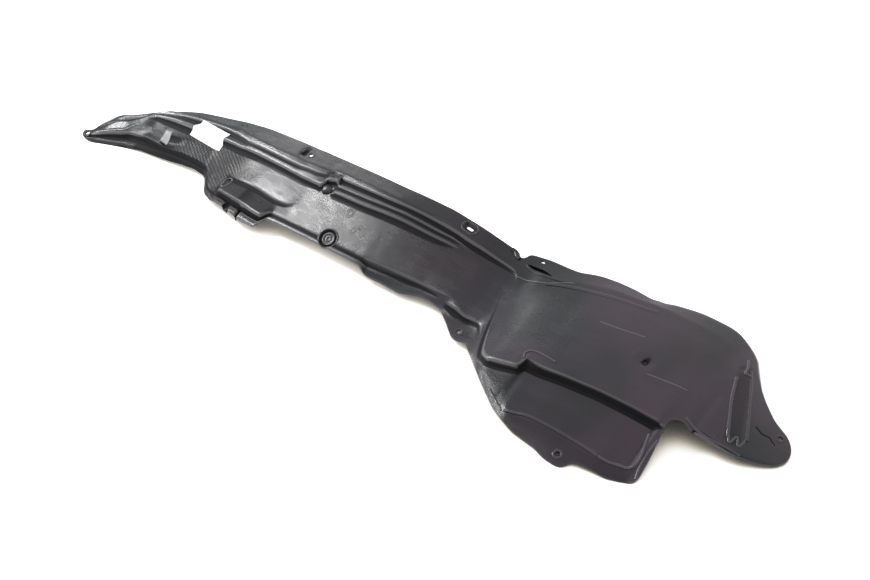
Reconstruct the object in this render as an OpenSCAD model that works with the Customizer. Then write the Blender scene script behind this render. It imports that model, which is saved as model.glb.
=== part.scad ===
// Wheel arch liner: one thin moulded sheet lying on the floor, outer side up, with a paper label stuck on it.
// Units are millimetres. +X runs from the rear end to the front end, +Y to the far side, +Z up.
// The sheet is a loft through cross-sections, cut to its plan outline, then drilled.

/* [Size] */
// Length of the liner along X, taken up by the plain runs of the strip and of the front panel
body_len = 1450; // [1350:5:1650]
// Width of the liner along Y, taken up by the plain web and the floor of the recess
body_wid = 400; // [360:5:460]
// Height of the far crest above the floor
body_high = 99; // [80:1:130]
// Thickness of the moulded sheet
wall = 2.5; // [1.5:0.1:4]

/* [Steps and ribs] */
// Height of the lower wall along the arch
low_wall_h = 9; // [3:0.5:14]
// Height of the upper wall along the arch
up_wall_h = 12; // [4:0.5:16]
// Depth of the groove beside the rolled near edge
groove_d = 4; // [0:0.5:6]
// Depth of the pocket above the three blocks
pocket_d = 6; // [0:0.5:9]
// Depth of the gaps between the blocks
gap_d = 6; // [0:0.5:9]
// Height of the wall of the front recess
recess_h = 14; // [4:0.5:18]
// Height of the raised band near the front tip
band_h = 4; // [1:0.5:8]
// Width of the raised band
band_w = 24; // [12:1:34]

/* [Fixing holes] */
// Diameter of the push clip holes
clip_d = 8; // [5:0.1:12]
// Diameter of the screw hole in the flange
screw_d = 7; // [4:0.1:10]
// Diameter of the small vent holes
vent_d = 3.5; // [2:0.1:6]
// Width of the long hole
slot_w = 6; // [4:0.1:9]
// Length of the long hole
slot_l = 13; // [10:0.1:20]
// Width of the slits
slit_w = 2.4; // [1.5:0.1:4]
// How far the flat ring round a hole reaches past the hole
pad_margin = 5; // [3:0.1:8]
// How much thicker the flat ring is than the sheet
pad_extra = 1; // [0.4:0.1:3]

/* [Round boss] */
// Diameter of the round boss on the near edge
boss_d = 38; // [28:0.5:50]
// Diameter of the button in the middle of the boss
button_d = 17; // [10:0.5:22]
// Depth of the ring between them
boss_depth = 7; // [4:0.5:12]

/* [Label] */
// Length of the paper label along X
label_l = 80; // [40:1:110]
// Width of the paper label in plan
label_b = 36; // [20:1:40]
// Thickness of the paper label
label_t = 0.4; // [0.2:0.1:1]
// Gap of the glue under the label
label_gap = 0.1; // [0.05:0.05:0.5]

/* [Hidden] */

// All places below are drawn places, which the sizes above stretch along the plain runs.

// Plan of the cut sheet, from the rear tab along the near edge to the front tip.
NEAR_EDGE = [
  [-725, -17], [-722, -26], [-714, -34], [-699, -32], [-670, -20], [-632, -6], [-597, 0], [-549, 4],
  [-503, 9], [-466, 10], [-437, 7], [-421, -9], [-401, -32], [-376, -42], [-335, -49], [-290, -58],
  [-255, -61], [-249, -50], [-246, -38], [-100, -38], [-36, -39], [-20, -42], [10, -41], [50, -42],
  [67, -37], [84, -33], [105, -33], [130, -37], [154, -54], [178, -74], [190, -78], [205, -73],
  [230, -93], [274, -128], [319, -160], [348, -175], [370, -183], [415, -190], [438, -198], [460, -200],
  [470, -196], [477, -183], [505, -180], [530, -178], [550, -170], [566, -163], [571, -154], [570, -134],
  [568, -113], [564, -85], [561, -60], [564, -50], [573, -45], [609, -50], [633, -47], [671, -41],
  [700, -25], [716, -13], [725, 2]
];

// And back along the far edge.
FAR_EDGE = [
  [724, 20], [716, 36], [703, 50], [690, 57], [675, 64], [653, 82], [633, 100], [617, 124], [604, 145],
  [598, 164], [580, 186], [545, 200], [490, 200], [462, 194], [440, 178], [428, 152], [416, 143],
  [380, 146], [350, 144], [319, 138], [291, 124], [240, 118], [206, 109], [203, 97], [199, 92], [194, 93],
  [190, 99], [171, 100], [149, 101], [107, 104], [50, 108], [-41, 106], [-128, 106], [-206, 105],
  [-273, 105], [-346, 104], [-407, 99], [-455, 91], [-510, 82], [-546, 74], [-556, 70], [-573, 69],
  [-605, 57], [-637, 47], [-668, 36], [-688, 27], [-700, 16], [-705, 2], [-706, -12]
];

// Slits and the three-cornered hole in the far flange.
TAIL_SLIT = [[660, 29], [673, 25], [684, 28], [697, 20]];
FLANGE_SLIT = [[213, 86], [228, 90], [246, 88]];
CORNER_HOLE = [[225, 103], [236, 105], [230, 110]];

// Holes, boss, band and label.
REAR_TAB_AT = [-711, -23];
NEAR_TAB_AT = [185, -60];
RECESS_TAB_AT = [453, -184];
DOME_AT = [479, 11];
TAIL_AT = [697, 38];
SCREW_AT = [-242, 84];
SLOT_AT = [96, 91];
VENTS = [[-691, 8], [-601, 52], [-409, 88], [-400, 90]];
BOSS_AT = [-117, -23];
BAND = [[602, 104], [646, -18]];
GAPS = [[-332, 5], [-301, 1]];
LABEL_AT = [-460, 53];

// A cross-section is a run of fourteen points [y, z] from the near edge to the far hem.
function mix(a, t, b) = a + t * (b - a);

// Arch strip: edge, shelf [y, z, width, rise], groove, edge of the web, two points on the web, foot and top
// of the lower wall, foot and top of the upper wall, lip, crest, hem.
// The two points on the web are given as [share, share, sag], or as the pocket's far foot [y, z] and depth.
function arch(x, edge, shelf, groove, web, on_web, foot, low, ledge, up, lip, crest) =
  let (
    s = [shelf[0] + shelf[2], shelf[1] + shelf[3]],
    g = [s[0] + 3.5, s[1] - groove * groove_d],
    pocket = is_list(on_web[0]),
    p = pocket ? on_web[0] : mix(web, on_web[0], foot) - [0, on_web[2]],
    q = pocket ? p + [4, on_web[1] * pocket_d] : mix(web, on_web[1], foot) - [0, on_web[2]],
    t = foot + [min(2, 0.4 * (ledge[0] - foot[0])), low * low_wall_h],
    u = ledge + [min(4, 0.45 * (lip[0] - ledge[0])), up * up_wall_h]
  )
  [x, [edge, [shelf[0], shelf[1]], s, g, web, p, q, foot, t, ledge, u, lip, crest, crest + [4, -2]]];

// Arch strip past the jog: two low steps stand on the web before the upper wall.
function steps(x, edge, shelf, groove, web, low, low_rise, mid, mid_rise, foot, up, lip, crest) =
  let (
    s = [shelf[0] + shelf[2], shelf[1] + shelf[3]],
    g = [s[0] + 3.5, s[1] - groove * groove_d]
  )
  [x, [edge, [shelf[0], shelf[1]], s, g, web, low, low + [2, low_rise * low_wall_h],
    mid, mid + [2, mid_rise * low_wall_h], foot, foot + [2, up * up_wall_h], lip, crest, crest + [4, -2]]];

// Front panel: edge, lip, edge of the recess floor, two points on the floor, foot and top of the recess
// wall, four points on the dome, crease, crest, hem.
function front(x, edge, floor_edge, top, depth, crown, crease, crest, hem, run = 4) =
  let (
    foot = top - [run, depth * recess_h],
    dome = [for (t = [0.16, 0.36, 0.58, 0.8]) mix(top, t, crease) + [0, 4 * crown * t * (1 - t)]]
  )
  [x, concat([edge, mix(edge, 0.5, floor_edge) + [0, 1], floor_edge, mix(floor_edge, 0.33, foot),
    mix(floor_edge, 0.68, foot), foot, top], dome, [crease, crest, hem])];

// Tail: edge with its rolled bead, seven points across, crest, hem.
function tail(x, edge, bead, crown, crest, hem) =
  let (web = edge + [19, 8 * bead])
  [x, concat([edge, edge + [6, 5 * bead], edge + [10, 7 * bead], edge + [14, (7 - groove_d / 2) * bead], web],
    [for (t = [0.08, 0.18, 0.3, 0.45, 0.6, 0.74, 0.88]) mix(web, t, crest) + [0, 4 * crown * t * (1 - t)]],
    [crest, hem])];

// The loft: cross-sections from the rear tab to the front tip.
SECTIONS = [
  arch(-730, [-52, 9], [-46, 9, 5, 0], 0, [-36, 9], [0.3, 0.6, 0], [-16, 9], 0, [-8, 9],
    0, [-2, 9], [3, 9]),
  arch(-702, [-37, 0], [-33, 5, 4, 3], 0, [-24, 11], [0.3, 0.6, 0], [-15, 15], 0, [0, 18],
    0, [10, 19], [20, 20]),
  arch(-670, [-25, -3], [-18, 7, 7, 2], 0, [-4, 17], [0.3, 0.6, 0], [3, 22], 0, [20, 31],
    0, [30, 35], [40, 39]),
  arch(-650, [-17, -3], [-11, 8, 9, 2], 0, [5, 20], [0.3, 0.6, 0], [12, 26], 0, [28, 34],
    0, [38, 39], [47, 44]),
  arch(-632, [-10, -2], [-4, 9, 10, 3], 0, [13, 24], [0.3, 0.6, 0], [27, 35], 0.1, [37, 41],
    0, [45, 45], [53, 49]),
  arch(-611, [-7, 1], [-1, 10, 8, 4], 0, [15, 26], [0.3, 0.6, 1], [42, 46], 0.2, [48, 51],
    0.1, [55, 54], [61, 57]),
  arch(-590, [-4, 4], [2, 11, 7, 4], 0, [16, 28], [0.3, 0.6, 3], [51, 51], 0.6, [58, 58],
    0.3, [64, 61], [69, 63]),
  arch(-550, [0, 6], [6, 11, 3, 5], 0, [15, 28], [0.3, 0.6, 3], [51, 55], 1.1, [60, 67],
    0.4, [68, 71], [76, 72]),
  arch(-500, [5, 8], [9, 14, 3, 6], 0, [17, 30], [0.3, 0.6, 3], [50, 60], 1.15, [62, 72],
    0.6, [71, 81], [86, 82]),
  arch(-440, [3, 10], [7, 15, 2, 6], 0, [14, 31], [0.3, 0.6, 1], [50, 65], 1.05, [65, 77],
    0.6, [75, 86], [95, 88]),
  arch(-420, [-16, 10], [-10, 15, 4, 6], 0, [0, 28], [0.2, 0.4, 0], [50, 66], 1, [66, 78],
    0.55, [77, 87], [99, 90]),
  arch(-400, [-37, 9], [-32, 14, 5, 5], 0, [-16, 25], [0.2, 0.4, 0], [50, 67], 0.9, [65, 79],
    0.55, [76, 89], [102, 92]),
  arch(-377, [-46, 9], [-41, 18, 6, 3], 0.2, [-21, 26], [[2, 40], 0.4], [49, 68],
    0.9, [61, 80], 0.55, [71, 90], [104, 94]),
  arch(-366, [-49, 10], [-44, 21, 8, 2], 1, [-26, 34], [[2, 38], 0.8], [49, 69], 0.9, [59, 81],
    0.5, [70, 91], [105, 95]),
  arch(-300, [-61, 11], [-55, 23, 9, 3], 1.2, [-37, 38], [[-2, 44], 1], [46, 71],
    0.95, [55, 83], 0.5, [67, 93], [107, 97]),
  arch(-256, [-66, 14], [-60, 24, 10, 3], 1.2, [-42, 37], [[-7, 44], 0.9], [43, 72],
    0.9, [53, 84], 0.5, [66, 94], [106, 98]),
  arch(-240, [-43, 24], [-38, 33, 4, 1], 0.8, [-25, 37], [[-8, 45], 0.6], [42, 72],
    0.9, [53, 85], 0.45, [66, 94], [106, 98]),
  arch(-224, [-43, 25], [-38, 33, 4, 2], 0.8, [-25, 37], [[-7, 46], 0.4], [41, 72],
    0.9, [54, 86], 0.4, [67, 95], [107, 99]),
  arch(-206, [-43, 25], [-38, 33, 4, 2], 0.8, [-25, 37], [0.3, 0.5, 0], [41, 72],
    0.9, [55, 86], 0.4, [68, 95], [107, 99]),
  arch(-188, [-43, 25], [-38, 33, 4, 2], 0.8, [-25, 37], [0.3, 0.6, 0], [41, 72], 1, [59, 87],
    0.35, [70, 95], [107, 99]),
  arch(-178, [-43, 25], [-38, 33, 4, 2], 0.8, [-25, 37], [0.78, 0.82, 0], [54, 79],
    1.1, [66, 92], 0.05, [74, 96], [107, 99]),
  arch(-163, [-43, 25], [-38, 33, 4, 2], 0.8, [-25, 37], [0.77, 0.8, 0], [57, 81],
    0.95, [68, 93], 0.05, [76, 96], [107, 99]),
  steps(-156, [-43, 25], [-38, 33, 4, 2], 0.8, [-25, 37], [41, 72], 0.75, [53, 80],
    0.45, [66, 85], 0.5, [77, 95], [107, 99]),
  steps(-100, [-43, 25], [-38, 33, 4, 1], 0.8, [-25, 36], [42, 73], 0.75, [54, 81],
    0.45, [67, 86], 0.5, [77, 96], [108, 99]),
  steps(-44, [-43, 25], [-38, 33, 4, 1], 0.8, [-25, 36], [45, 74], 0.75, [57, 82],
    0.4, [68, 86], 0.55, [78, 96], [108, 98]),
  steps(-24, [-46, 13], [-40, 20, 6, 6], -0.3, [-24, 36], [46, 74], 0.75, [58, 82],
    0.4, [69, 86], 0.55, [79, 95], [109, 98]),
  steps(50, [-47, 11], [-40, 17, 11, 8], -0.5, [-20, 36], [48, 71], 0.6, [60, 76],
    0.4, [71, 80], 0.6, [80, 91], [111, 95]),
  steps(85, [-40, 15], [-34, 20, 7, 6], -0.5, [-19, 35], [51, 69], 0.35, [62, 73],
    0.3, [70, 76], 0.65, [79, 87], [108, 92]),
  steps(108, [-38, 17], [-33, 21, 5, 5], -0.5, [-19, 35], [52, 67], 0.1, [61, 71],
    0.15, [68, 73], 0.65, [78, 84], [107, 90]),
  steps(130, [-43, 15], [-36, 19, 6, 5], -1, [-19, 35], [50, 64], 0.1, [60, 68], 0.1, [67, 71],
    0.6, [77, 81], [105, 87]),
  steps(155, [-62, 13], [-46, 16, 12, 5], -2.2, [-19, 34], [45, 61], 0.1, [57, 65],
    0.1, [66, 68], 0.5, [77, 77], [104, 83]),
  steps(180, [-82, 12], [-60, 14, 22, 5], -2, [-19, 33], [42, 57], 0.1, [54, 62],
    0.1, [65, 66], 0.35, [77, 74], [103, 78]),
  steps(205, [-82, 12], [-66, 14, 28, 8], -1.4, [-22, 32], [32, 51], 0.1, [46, 57],
    0.1, [62, 64], 0.2, [78, 71], [108, 74]),
  front(230, [-99, 11], [-78, 20], [-46, 32], 0.3, 0, [76, 68], [116, 72], [122, 70]),
  front(252, [-116, 9], [-104, 18], [-90, 31], 0.4, 1, [76, 70], [120, 70], [126, 68]),
  front(272, [-132, 8], [-118, 21], [-101, 37], 0.75, 3, [82, 70], [123, 68], [129, 66]),
  front(310, [-160, 6], [-133, 20], [-98, 44], 0.8, 5, [99, 70], [137, 66], [143, 64]),
  front(321, [-167, 5], [-141, 18], [-95, 46], 0.8, 5, [104, 70], [141, 65], [147, 63]),
  front(327, [-170, 5], [-145, 18], [-79, 50], 0.95, 4, [106, 70], [142, 65], [148, 63], 10),
  front(338, [-176, 4], [-155, 18], [-81, 50], 0.95, 5, [110, 70], [145, 64], [151, 62], 7),
  front(352, [-183, 4], [-161, 17], [-83, 50], 0.95, 6, [115, 70], [148, 63], [154, 61]),
  front(400, [-196, 1], [-155, 19], [-78, 50], 0.85, 9, [124, 67], [149, 60], [155, 58]),
  front(425, [-203, 0], [-154, 19], [-76, 50], 0.85, 9, [130, 65], [150, 58], [158, 40]),
  front(450, [-208, 0], [-154, 18], [-74, 50], 0.85, 9, [134, 62], [162, 54], [195, -10]),
  front(500, [-192, 4], [-157, 15], [-73, 49], 0.85, 9, [138, 57], [174, 49], [206, -10]),
  front(535, [-187, 0], [-151, 11], [-72, 46], 0.85, 9, [140, 52], [176, 45], [206, -10]),
  front(548, [-181, -2], [-146, 11], [-72, 45], 0.85, 9, [138, 50], [174, 44], [204, -10]),
  front(556, [-177, -4], [-142, 14], [-70, 41], 0.3, 9, [137, 49], [172, 43], [202, -10]),
  front(576, [-176, -4], [-142, 11], [-64, 37], 0.2, 10, [131, 44], [163, 39], [192, -10]),
  tail(600, [-58, 26], 1, 11, [146, 34], [172, -8]),
  tail(622, [-56, 22], 1, 8, [114, 27], [128, 16]),
  tail(650, [-53, 16], 0.8, 4, [84, 17], [92, 13]),
  tail(680, [-44, 9], 0.5, 1.5, [62, 10], [69, 7]),
  tail(705, [-32, 5], 0.4, 0.5, [48, 7], [55, 5]),
  tail(730, [-20, 4], 0.2, 0, [41, 6], [47, 5])
];

// Plain runs along X and along Y, which take up a change of length or width.
X_RUNS = [[-95, 82], [354, 440]];
Y_RUNS = [[-150, -90], [0, 34]];
OUTLINE = concat(NEAR_EDGE, FAR_EDGE);
function spread(list) = max(list) - min(list);
drawn_len = spread([for (p = OUTLINE) p[0]]);
drawn_wid = spread([for (p = OUTLINE) p[1]]);
drawn_high = max([for (s = SECTIONS) for (p = s[1]) p[1]]);
sz = body_high / drawn_high;
function sum(list, i = 0) = i == len(list) ? 0 : list[i] + sum(list, i + 1);
function passed(runs, v) = sum([for (r = runs) min(max(v, r[0]), r[1]) - r[0]]);
function whole(runs) = sum([for (r = runs) r[1] - r[0]]);
function ax(x) = x + (body_len - drawn_len) * (passed(X_RUNS, x) / whole(X_RUNS) - 0.5);
function ay(y) = y + (body_wid - drawn_wid) * (passed(Y_RUNS, y) / whole(Y_RUNS) - 0.5);
function at(p) = [ax(p[0]), ay(p[1])];
function x_rate(x) = ax(x + 0.5) - ax(x - 0.5);
function y_rate(y) = ay(y + 0.5) - ay(y - 0.5);

// Half the width of the rounding at each corner of a section.
soft = 1.3;
// How far the cutting tools reach, and the thickness of the ring round a hole.
reach = body_high;
pad_t = wall + pad_extra;

// How many rows of the mesh lie between one point of a section and the next.
ROWS = [1, 1, 1, 2, 2, 1, 4, 2, 2, 2, 2, 2, 2];

// Where the mesh is cut across, closer together where the shape changes quickly.
CUTS = concat(
  [-730, -702, -686, -670, -651, -632, -611, -590],
  [-561, -554, -547, -534, -521, -507, -490, -472, -455],
  [-440, -430, -420, -410, -400, -377, -371, -366, -356, -341, -337, -327, -323, -312, -303, -299],
  [-280, -256, -250, -245, -240, -224, -206, -196, -188, -183, -178, -170, -163, -159, -156, -148],
  [for (x = [-132:22:-44]) x], [-34, -24, -8], [for (x = [12:22:100]) x],
  [118, 130, 142, 155, 168, 180, 192, 205, 218, 230, 241, 252, 262, 272, 284, 297, 310, 321, 327, 338],
  [352, 367, 383, 400, 425, 437, 450, 475, 500, 518, 535, 548, 556, 576, 588, 600, 611, 622],
  [636, 650, 665, 680, 692, 705, 718, 730]
);

function ramp(a, b, v) = let (t = min(1, max(0, (v - a) / (b - a)))) t * t * (3 - 2 * t);
function bump(a, b, e, v) = ramp(a - e, a, v) * (1 - ramp(b, b + e, v));

// Smooth course of the section points along X, with no overshoot.
function seg(x, i = 0) = (i >= len(SECTIONS) - 2 || x < SECTIONS[i + 1][0]) ? i : seg(x, i + 1);
function grade(i, k, c) =
  (SECTIONS[i + 1][1][k][c] - SECTIONS[i][1][k][c]) / (SECTIONS[i + 1][0] - SECTIONS[i][0]);
function tangent(i, k, c) =
  (i == 0) ? grade(0, k, c)
  : (i >= len(SECTIONS) - 1) ? grade(i - 1, k, c)
  : let (a = grade(i - 1, k, c), b = grade(i, k, c)) (a * b <= 0) ? 0 : 2 * a * b / (a + b);
function course(i, t, k, c) =
  let (w = SECTIONS[i + 1][0] - SECTIONS[i][0], t2 = t * t, t3 = t2 * t)
  (2 * t3 - 3 * t2 + 1) * SECTIONS[i][1][k][c] + (t3 - 2 * t2 + t) * w * tangent(i, k, c)
  + (3 * t2 - 2 * t3) * SECTIONS[i + 1][1][k][c] + (t3 - t2) * w * tangent(i + 1, k, c);
function section(x) =
  let (i = seg(x), t = (x - SECTIONS[i][0]) / (SECTIONS[i + 1][0] - SECTIONS[i][0]))
  [for (k = [0:13]) [course(i, t, k, 0), course(i, t, k, 1)]];

// Height on one section at y, first with sharp corners, then rounded.
function find(S, y, k = 0) = (k >= 12 || y < S[k + 1][0]) ? k : find(S, y, k + 1);
function sharp(S, y) =
  let (k = find(S, y), a = S[k], b = S[k + 1]) a[1] + (b[1] - a[1]) * (y - a[0]) / (b[0] - a[0]);
function rounded(S, y) = (sharp(S, y - soft) + 2 * sharp(S, y) + sharp(S, y + soft)) / 4;

// Small shapes on the rear part: gaps between the blocks, a hollow with one steep side, and a dimple beside
// the screw hole.
function gap(g, x) = bump(g[0] - g[1], g[0] + g[1], 3, x);
function gaps(x, y) = -gap_d * bump(-56, -42, 3, y) * max([for (g = GAPS) gap(g, x)]);
function hollow(x, y) = -6 * max(0, min((x + 561) / 14, (-507 - x) / 40)) * bump(20, 33, 6, y);
function dimple(x, y) = -6 * (1 - ramp(0.3, 1, norm([(x + 256) / 9, (y - 85) / 8])));
function extra(x, y) = gaps(x, y) + hollow(x, y) + dimple(x, y);

// Outer side and inner side of the sheet over a point. The inner side lies one wall inside the outer side.
function outer(x, y) = rounded(section(x), y) + extra(x, y);
function inner(S, R, L, x, y) =
  let (t = wall / y_rate(y), g = 0.7)
  min(
    rounded(S, y) * sz - wall, rounded(S, y - t) * sz, rounded(S, y + t) * sz,
    rounded(S, y - g * t) * sz - g * wall, rounded(S, y + g * t) * sz - g * wall,
    rounded(R, y) * sz, rounded(L, y) * sz
  ) + extra(x, y) * sz;

function row_y(S) = concat([S[0][0]], [
  for (k = [0:12]) for (j = [1:ROWS[k]]) S[k][0] + (S[k + 1][0] - S[k][0]) * j / ROWS[k]
]);
GRID = [for (x = CUTS) let (S = section(x)) [x, S, row_y(S)]];

// The part of the grid that the label needs.
LABEL_GRID = [
  for (g = GRID) if (abs(g[0] - LABEL_AT[0]) < 75) [g[0], g[1], [for (j = [7:21]) g[2][j]]]
];

// Closed skin between two lists of points over the same grid of nx by ny points.
function skin(nx, ny) =
  let (
    q = nx * ny,
    at = function (i, j, s) i * ny + j + s * q
  )
  concat(
    [for (i = [0:nx - 2]) for (j = [0:ny - 2]) [at(i, j, 1), at(i, j + 1, 1), at(i + 1, j + 1, 1)]],
    [for (i = [0:nx - 2]) for (j = [0:ny - 2]) [at(i, j, 1), at(i + 1, j + 1, 1), at(i + 1, j, 1)]],
    [for (i = [0:nx - 2]) for (j = [0:ny - 2]) [at(i, j, 0), at(i + 1, j + 1, 0), at(i, j + 1, 0)]],
    [for (i = [0:nx - 2]) for (j = [0:ny - 2]) [at(i, j, 0), at(i + 1, j, 0), at(i + 1, j + 1, 0)]],
    [for (i = [0:nx - 2]) [at(i, 0, 0), at(i, 0, 1), at(i + 1, 0, 1)]],
    [for (i = [0:nx - 2]) [at(i, 0, 0), at(i + 1, 0, 1), at(i + 1, 0, 0)]],
    [for (i = [0:nx - 2]) [at(i, ny - 1, 0), at(i + 1, ny - 1, 1), at(i, ny - 1, 1)]],
    [for (i = [0:nx - 2]) [at(i, ny - 1, 0), at(i + 1, ny - 1, 0), at(i + 1, ny - 1, 1)]],
    [for (j = [0:ny - 2]) [at(0, j, 0), at(0, j + 1, 1), at(0, j, 1)]],
    [for (j = [0:ny - 2]) [at(0, j, 0), at(0, j + 1, 0), at(0, j + 1, 1)]],
    [for (j = [0:ny - 2]) [at(nx - 1, j, 0), at(nx - 1, j, 1), at(nx - 1, j + 1, 1)]],
    [for (j = [0:ny - 2]) [at(nx - 1, j, 0), at(nx - 1, j + 1, 1), at(nx - 1, j + 1, 0)]]
  );
function lifted(G, dz) = [
  for (g = G) for (y = g[2]) [ax(g[0]), ay(y), (rounded(g[1], y) + extra(g[0], y)) * sz + dz]
];
function under(G) = [
  for (g = G)
    let (e = wall / x_rate(g[0]), R = section(g[0] + e), L = section(g[0] - e))
    for (y = g[2]) [ax(g[0]), ay(y), inner(g[1], R, L, g[0], y)]
];
module loft(G, low, high) {
  polyhedron(concat(low, high), skin(len(G), len(G[0][2])), convexity = 8);
}

// Places a thing on the sheet, square to it.
function facing(x, y) =
  let (
    e = 6,
    gx = (outer(x + e, y) - outer(x - e, y)) * sz / (ax(x + e) - ax(x - e)),
    gy = (outer(x, y + e) - outer(x, y - e)) * sz / (ay(y + e) - ay(y - e))
  ) [-gx, -gy, 1] / norm([-gx, -gy, 1]);
function spot(p) = [ax(p[0]), ay(p[1]), outer(p[0], p[1]) * sz];
module on_sheet(p) {
  n = facing(p[0], p[1]);
  turn = atan2(n[1], n[0]);
  translate(spot(p)) rotate([0, acos(n[2]), turn])
    rotate([0, 0, -turn]) children();
}

module plan(points) {
  polygon([for (p = points) at(p)]);
}
module slit(points) {
  for (i = [0:len(points) - 2]) {
    a = at(points[i]);
    b = at(points[i + 1]);
    n = slit_w / 2 * [a[1] - b[1], b[0] - a[0]] / norm(b - a);
    c = slit_w / 4 * (b - a) / norm(b - a);
    polygon([a + n - c, b + n + c, b - n + c, a - n - c]);
  }
}
module sheet() {
  intersection() {
    loft(GRID, under(GRID), lifted(GRID, 0));
    linear_extrude(2 * body_high) difference() {
      plan(OUTLINE);
      slit(TAIL_SLIT);
      slit(FLANGE_SLIT);
      plan(CORNER_HOLE);
    }
  }
}

// Raised band: a hollow rib with sloping sides that follows the sheet along its own middle line.
band_l = norm(BAND[1] - BAND[0]);
band_dir = (BAND[1] - BAND[0]) / band_l;
BAND_STEPS = [for (i = [0:8]) i / 8];
function band_at(s, v) = BAND[0] + s * band_l * band_dir + v * [-band_dir[1], band_dir[0]];
function band_rise(s, v, w) =
  let (end = min(s, 1 - s) * band_l / 6) band_h * min(1, end) * min(1, 4 * (0.5 - abs(v)));
function band_points(w, low, high) = [
  for (s = BAND_STEPS) for (v = [-0.5, -0.25, 0, 0.25, 0.5])
    let (p = band_at(s, v * w)) spot(p) + [0, 0, low + high * band_rise(s, v, w)]
];
module band_solid(w, low, high) {
  points = concat(band_points(w, low, 0), band_points(w, high, 1));
  polyhedron(points, skin(len(BAND_STEPS), 5), convexity = 4);
}

// Flat ring round a hole, a little thicker than the sheet on both sides.
module ring_pad(p, d) {
  on_sheet(p) translate([0, 0, pad_extra / 2 - pad_t]) cylinder(d = d + 2 * pad_margin, h = pad_t, $fn = 48);
}
module bore(p, d) {
  on_sheet(p) translate([0, 0, -reach / 6]) cylinder(d = d, h = reach / 3, $fn = 48);
}
module slot_shape(margin, h) {
  half = (slot_l - slot_w) / 2;
  r = slot_w / 2 + margin;
  rotate([0, 0, -8]) {
    translate([-half, 0, 0]) cylinder(r = r, h = h, $fn = 48);
    translate([half, 0, 0]) cylinder(r = r, h = h, $fn = 48);
    translate([-half, -r, 0]) cube([2 * half, 2 * r, h]);
  }
}

// Round boss: a sunk ring with a button in the middle.
module boss_dish() {
  r = boss_d / 2;
  b = button_d / 2;
  top = 1;
  bottom = -boss_depth;
  button = bottom + boss_depth / 2;
  rotate_extrude($fn = 72) polygon([
    [0, button], [b - 2, button], [b, bottom], [r - 5, bottom], [r - 2.5, top], [r, top],
    [r, top - wall - 1.5], [r - 2.2, top - wall - 1.5], [r - 4, bottom - wall], [b + 1.2, bottom - wall],
    [b - 1, button - wall], [0, button - wall]
  ]);
}

CLIPS_AT = [REAR_TAB_AT, NEAR_TAB_AT, RECESS_TAB_AT, DOME_AT, TAIL_AT];
module liner() {
  color("#2b2a2f") difference() {
    union() {
      difference() {
        sheet();
        on_sheet(BOSS_AT) translate([0, 0, -reach / 6]) cylinder(d = boss_d - 3, h = reach / 3, $fn = 72);
      }
      on_sheet(BOSS_AT) boss_dish();
      band_solid(band_w, -wall / 2, 0);
      for (p = CLIPS_AT) ring_pad(p, clip_d);
      ring_pad(SCREW_AT, screw_d);
      on_sheet(SLOT_AT) translate([0, 0, pad_extra / 2 - pad_t]) slot_shape(pad_margin, pad_t);
    }
    for (p = CLIPS_AT) bore(p, clip_d);
    bore(SCREW_AT, screw_d);
    for (p = VENTS) bore(p, vent_d);
    on_sheet(SLOT_AT) translate([0, 0, -reach / 6]) slot_shape(0, reach / 3);
    band_solid(band_w - 2 * wall, -3 * wall, -wall);
  }
}

// Paper label with a slightly torn right-hand edge, following the sheet over the lower wall.
module label_plan() {
  l = label_l / 2;
  b = label_b / 2;
  translate(at(LABEL_AT))
    polygon([
      [-1.09 * l, -0.47 * b], [0.92 * l, -0.9 * b], [0.97 * l, -0.45 * b], [0.9 * l, -0.1 * b],
      [1.06 * l, 0.6 * b], [-0.67 * l, 0.8 * b], [-0.73 * l, 0.47 * b], [-0.95 * l, 0.2 * b]
    ]);
}
module label() {
  color("#f4f4f2") intersection() {
    loft(LABEL_GRID, lifted(LABEL_GRID, label_gap), lifted(LABEL_GRID, label_gap + label_t));
    linear_extrude(2 * body_high) label_plan();
  }
}

liner();
label();
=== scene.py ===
"""A wheel arch liner: a thin black moulded sheet with a blank paper label, lying on a pale floor."""

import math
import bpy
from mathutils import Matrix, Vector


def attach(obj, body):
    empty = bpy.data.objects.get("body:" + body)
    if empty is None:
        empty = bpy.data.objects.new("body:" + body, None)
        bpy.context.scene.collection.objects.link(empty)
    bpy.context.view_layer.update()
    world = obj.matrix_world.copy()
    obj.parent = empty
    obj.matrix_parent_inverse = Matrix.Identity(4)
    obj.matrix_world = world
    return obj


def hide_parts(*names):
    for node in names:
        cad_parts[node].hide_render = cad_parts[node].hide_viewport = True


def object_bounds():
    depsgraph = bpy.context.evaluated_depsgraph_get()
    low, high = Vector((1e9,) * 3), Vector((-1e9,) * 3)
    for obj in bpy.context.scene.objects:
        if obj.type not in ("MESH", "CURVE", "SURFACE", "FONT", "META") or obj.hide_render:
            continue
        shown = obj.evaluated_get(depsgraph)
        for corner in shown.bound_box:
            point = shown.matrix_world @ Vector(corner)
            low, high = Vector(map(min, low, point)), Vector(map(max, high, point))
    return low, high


bl_info = {
    "name": "Wheel Arch Liner",
    "version": (1, 0, 0),
    "blender": (4, 5, 0),
    "location": "3D View > Sidebar > Liner",
    "description": "Makes a moulded wheel arch liner with its label, floor, lamps and camera",
    "category": "Object",
}

import bmesh
import bpy
import numpy as np
from bpy.props import FloatProperty, FloatVectorProperty, PointerProperty
from mathutils import Matrix, Vector

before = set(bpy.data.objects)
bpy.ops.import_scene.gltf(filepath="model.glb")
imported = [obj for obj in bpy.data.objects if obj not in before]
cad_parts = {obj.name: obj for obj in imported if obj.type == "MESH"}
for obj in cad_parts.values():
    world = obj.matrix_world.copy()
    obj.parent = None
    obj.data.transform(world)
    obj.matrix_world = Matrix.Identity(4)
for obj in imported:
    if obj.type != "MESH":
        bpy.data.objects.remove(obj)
CAD_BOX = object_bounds()
MM = 0.001


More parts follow.
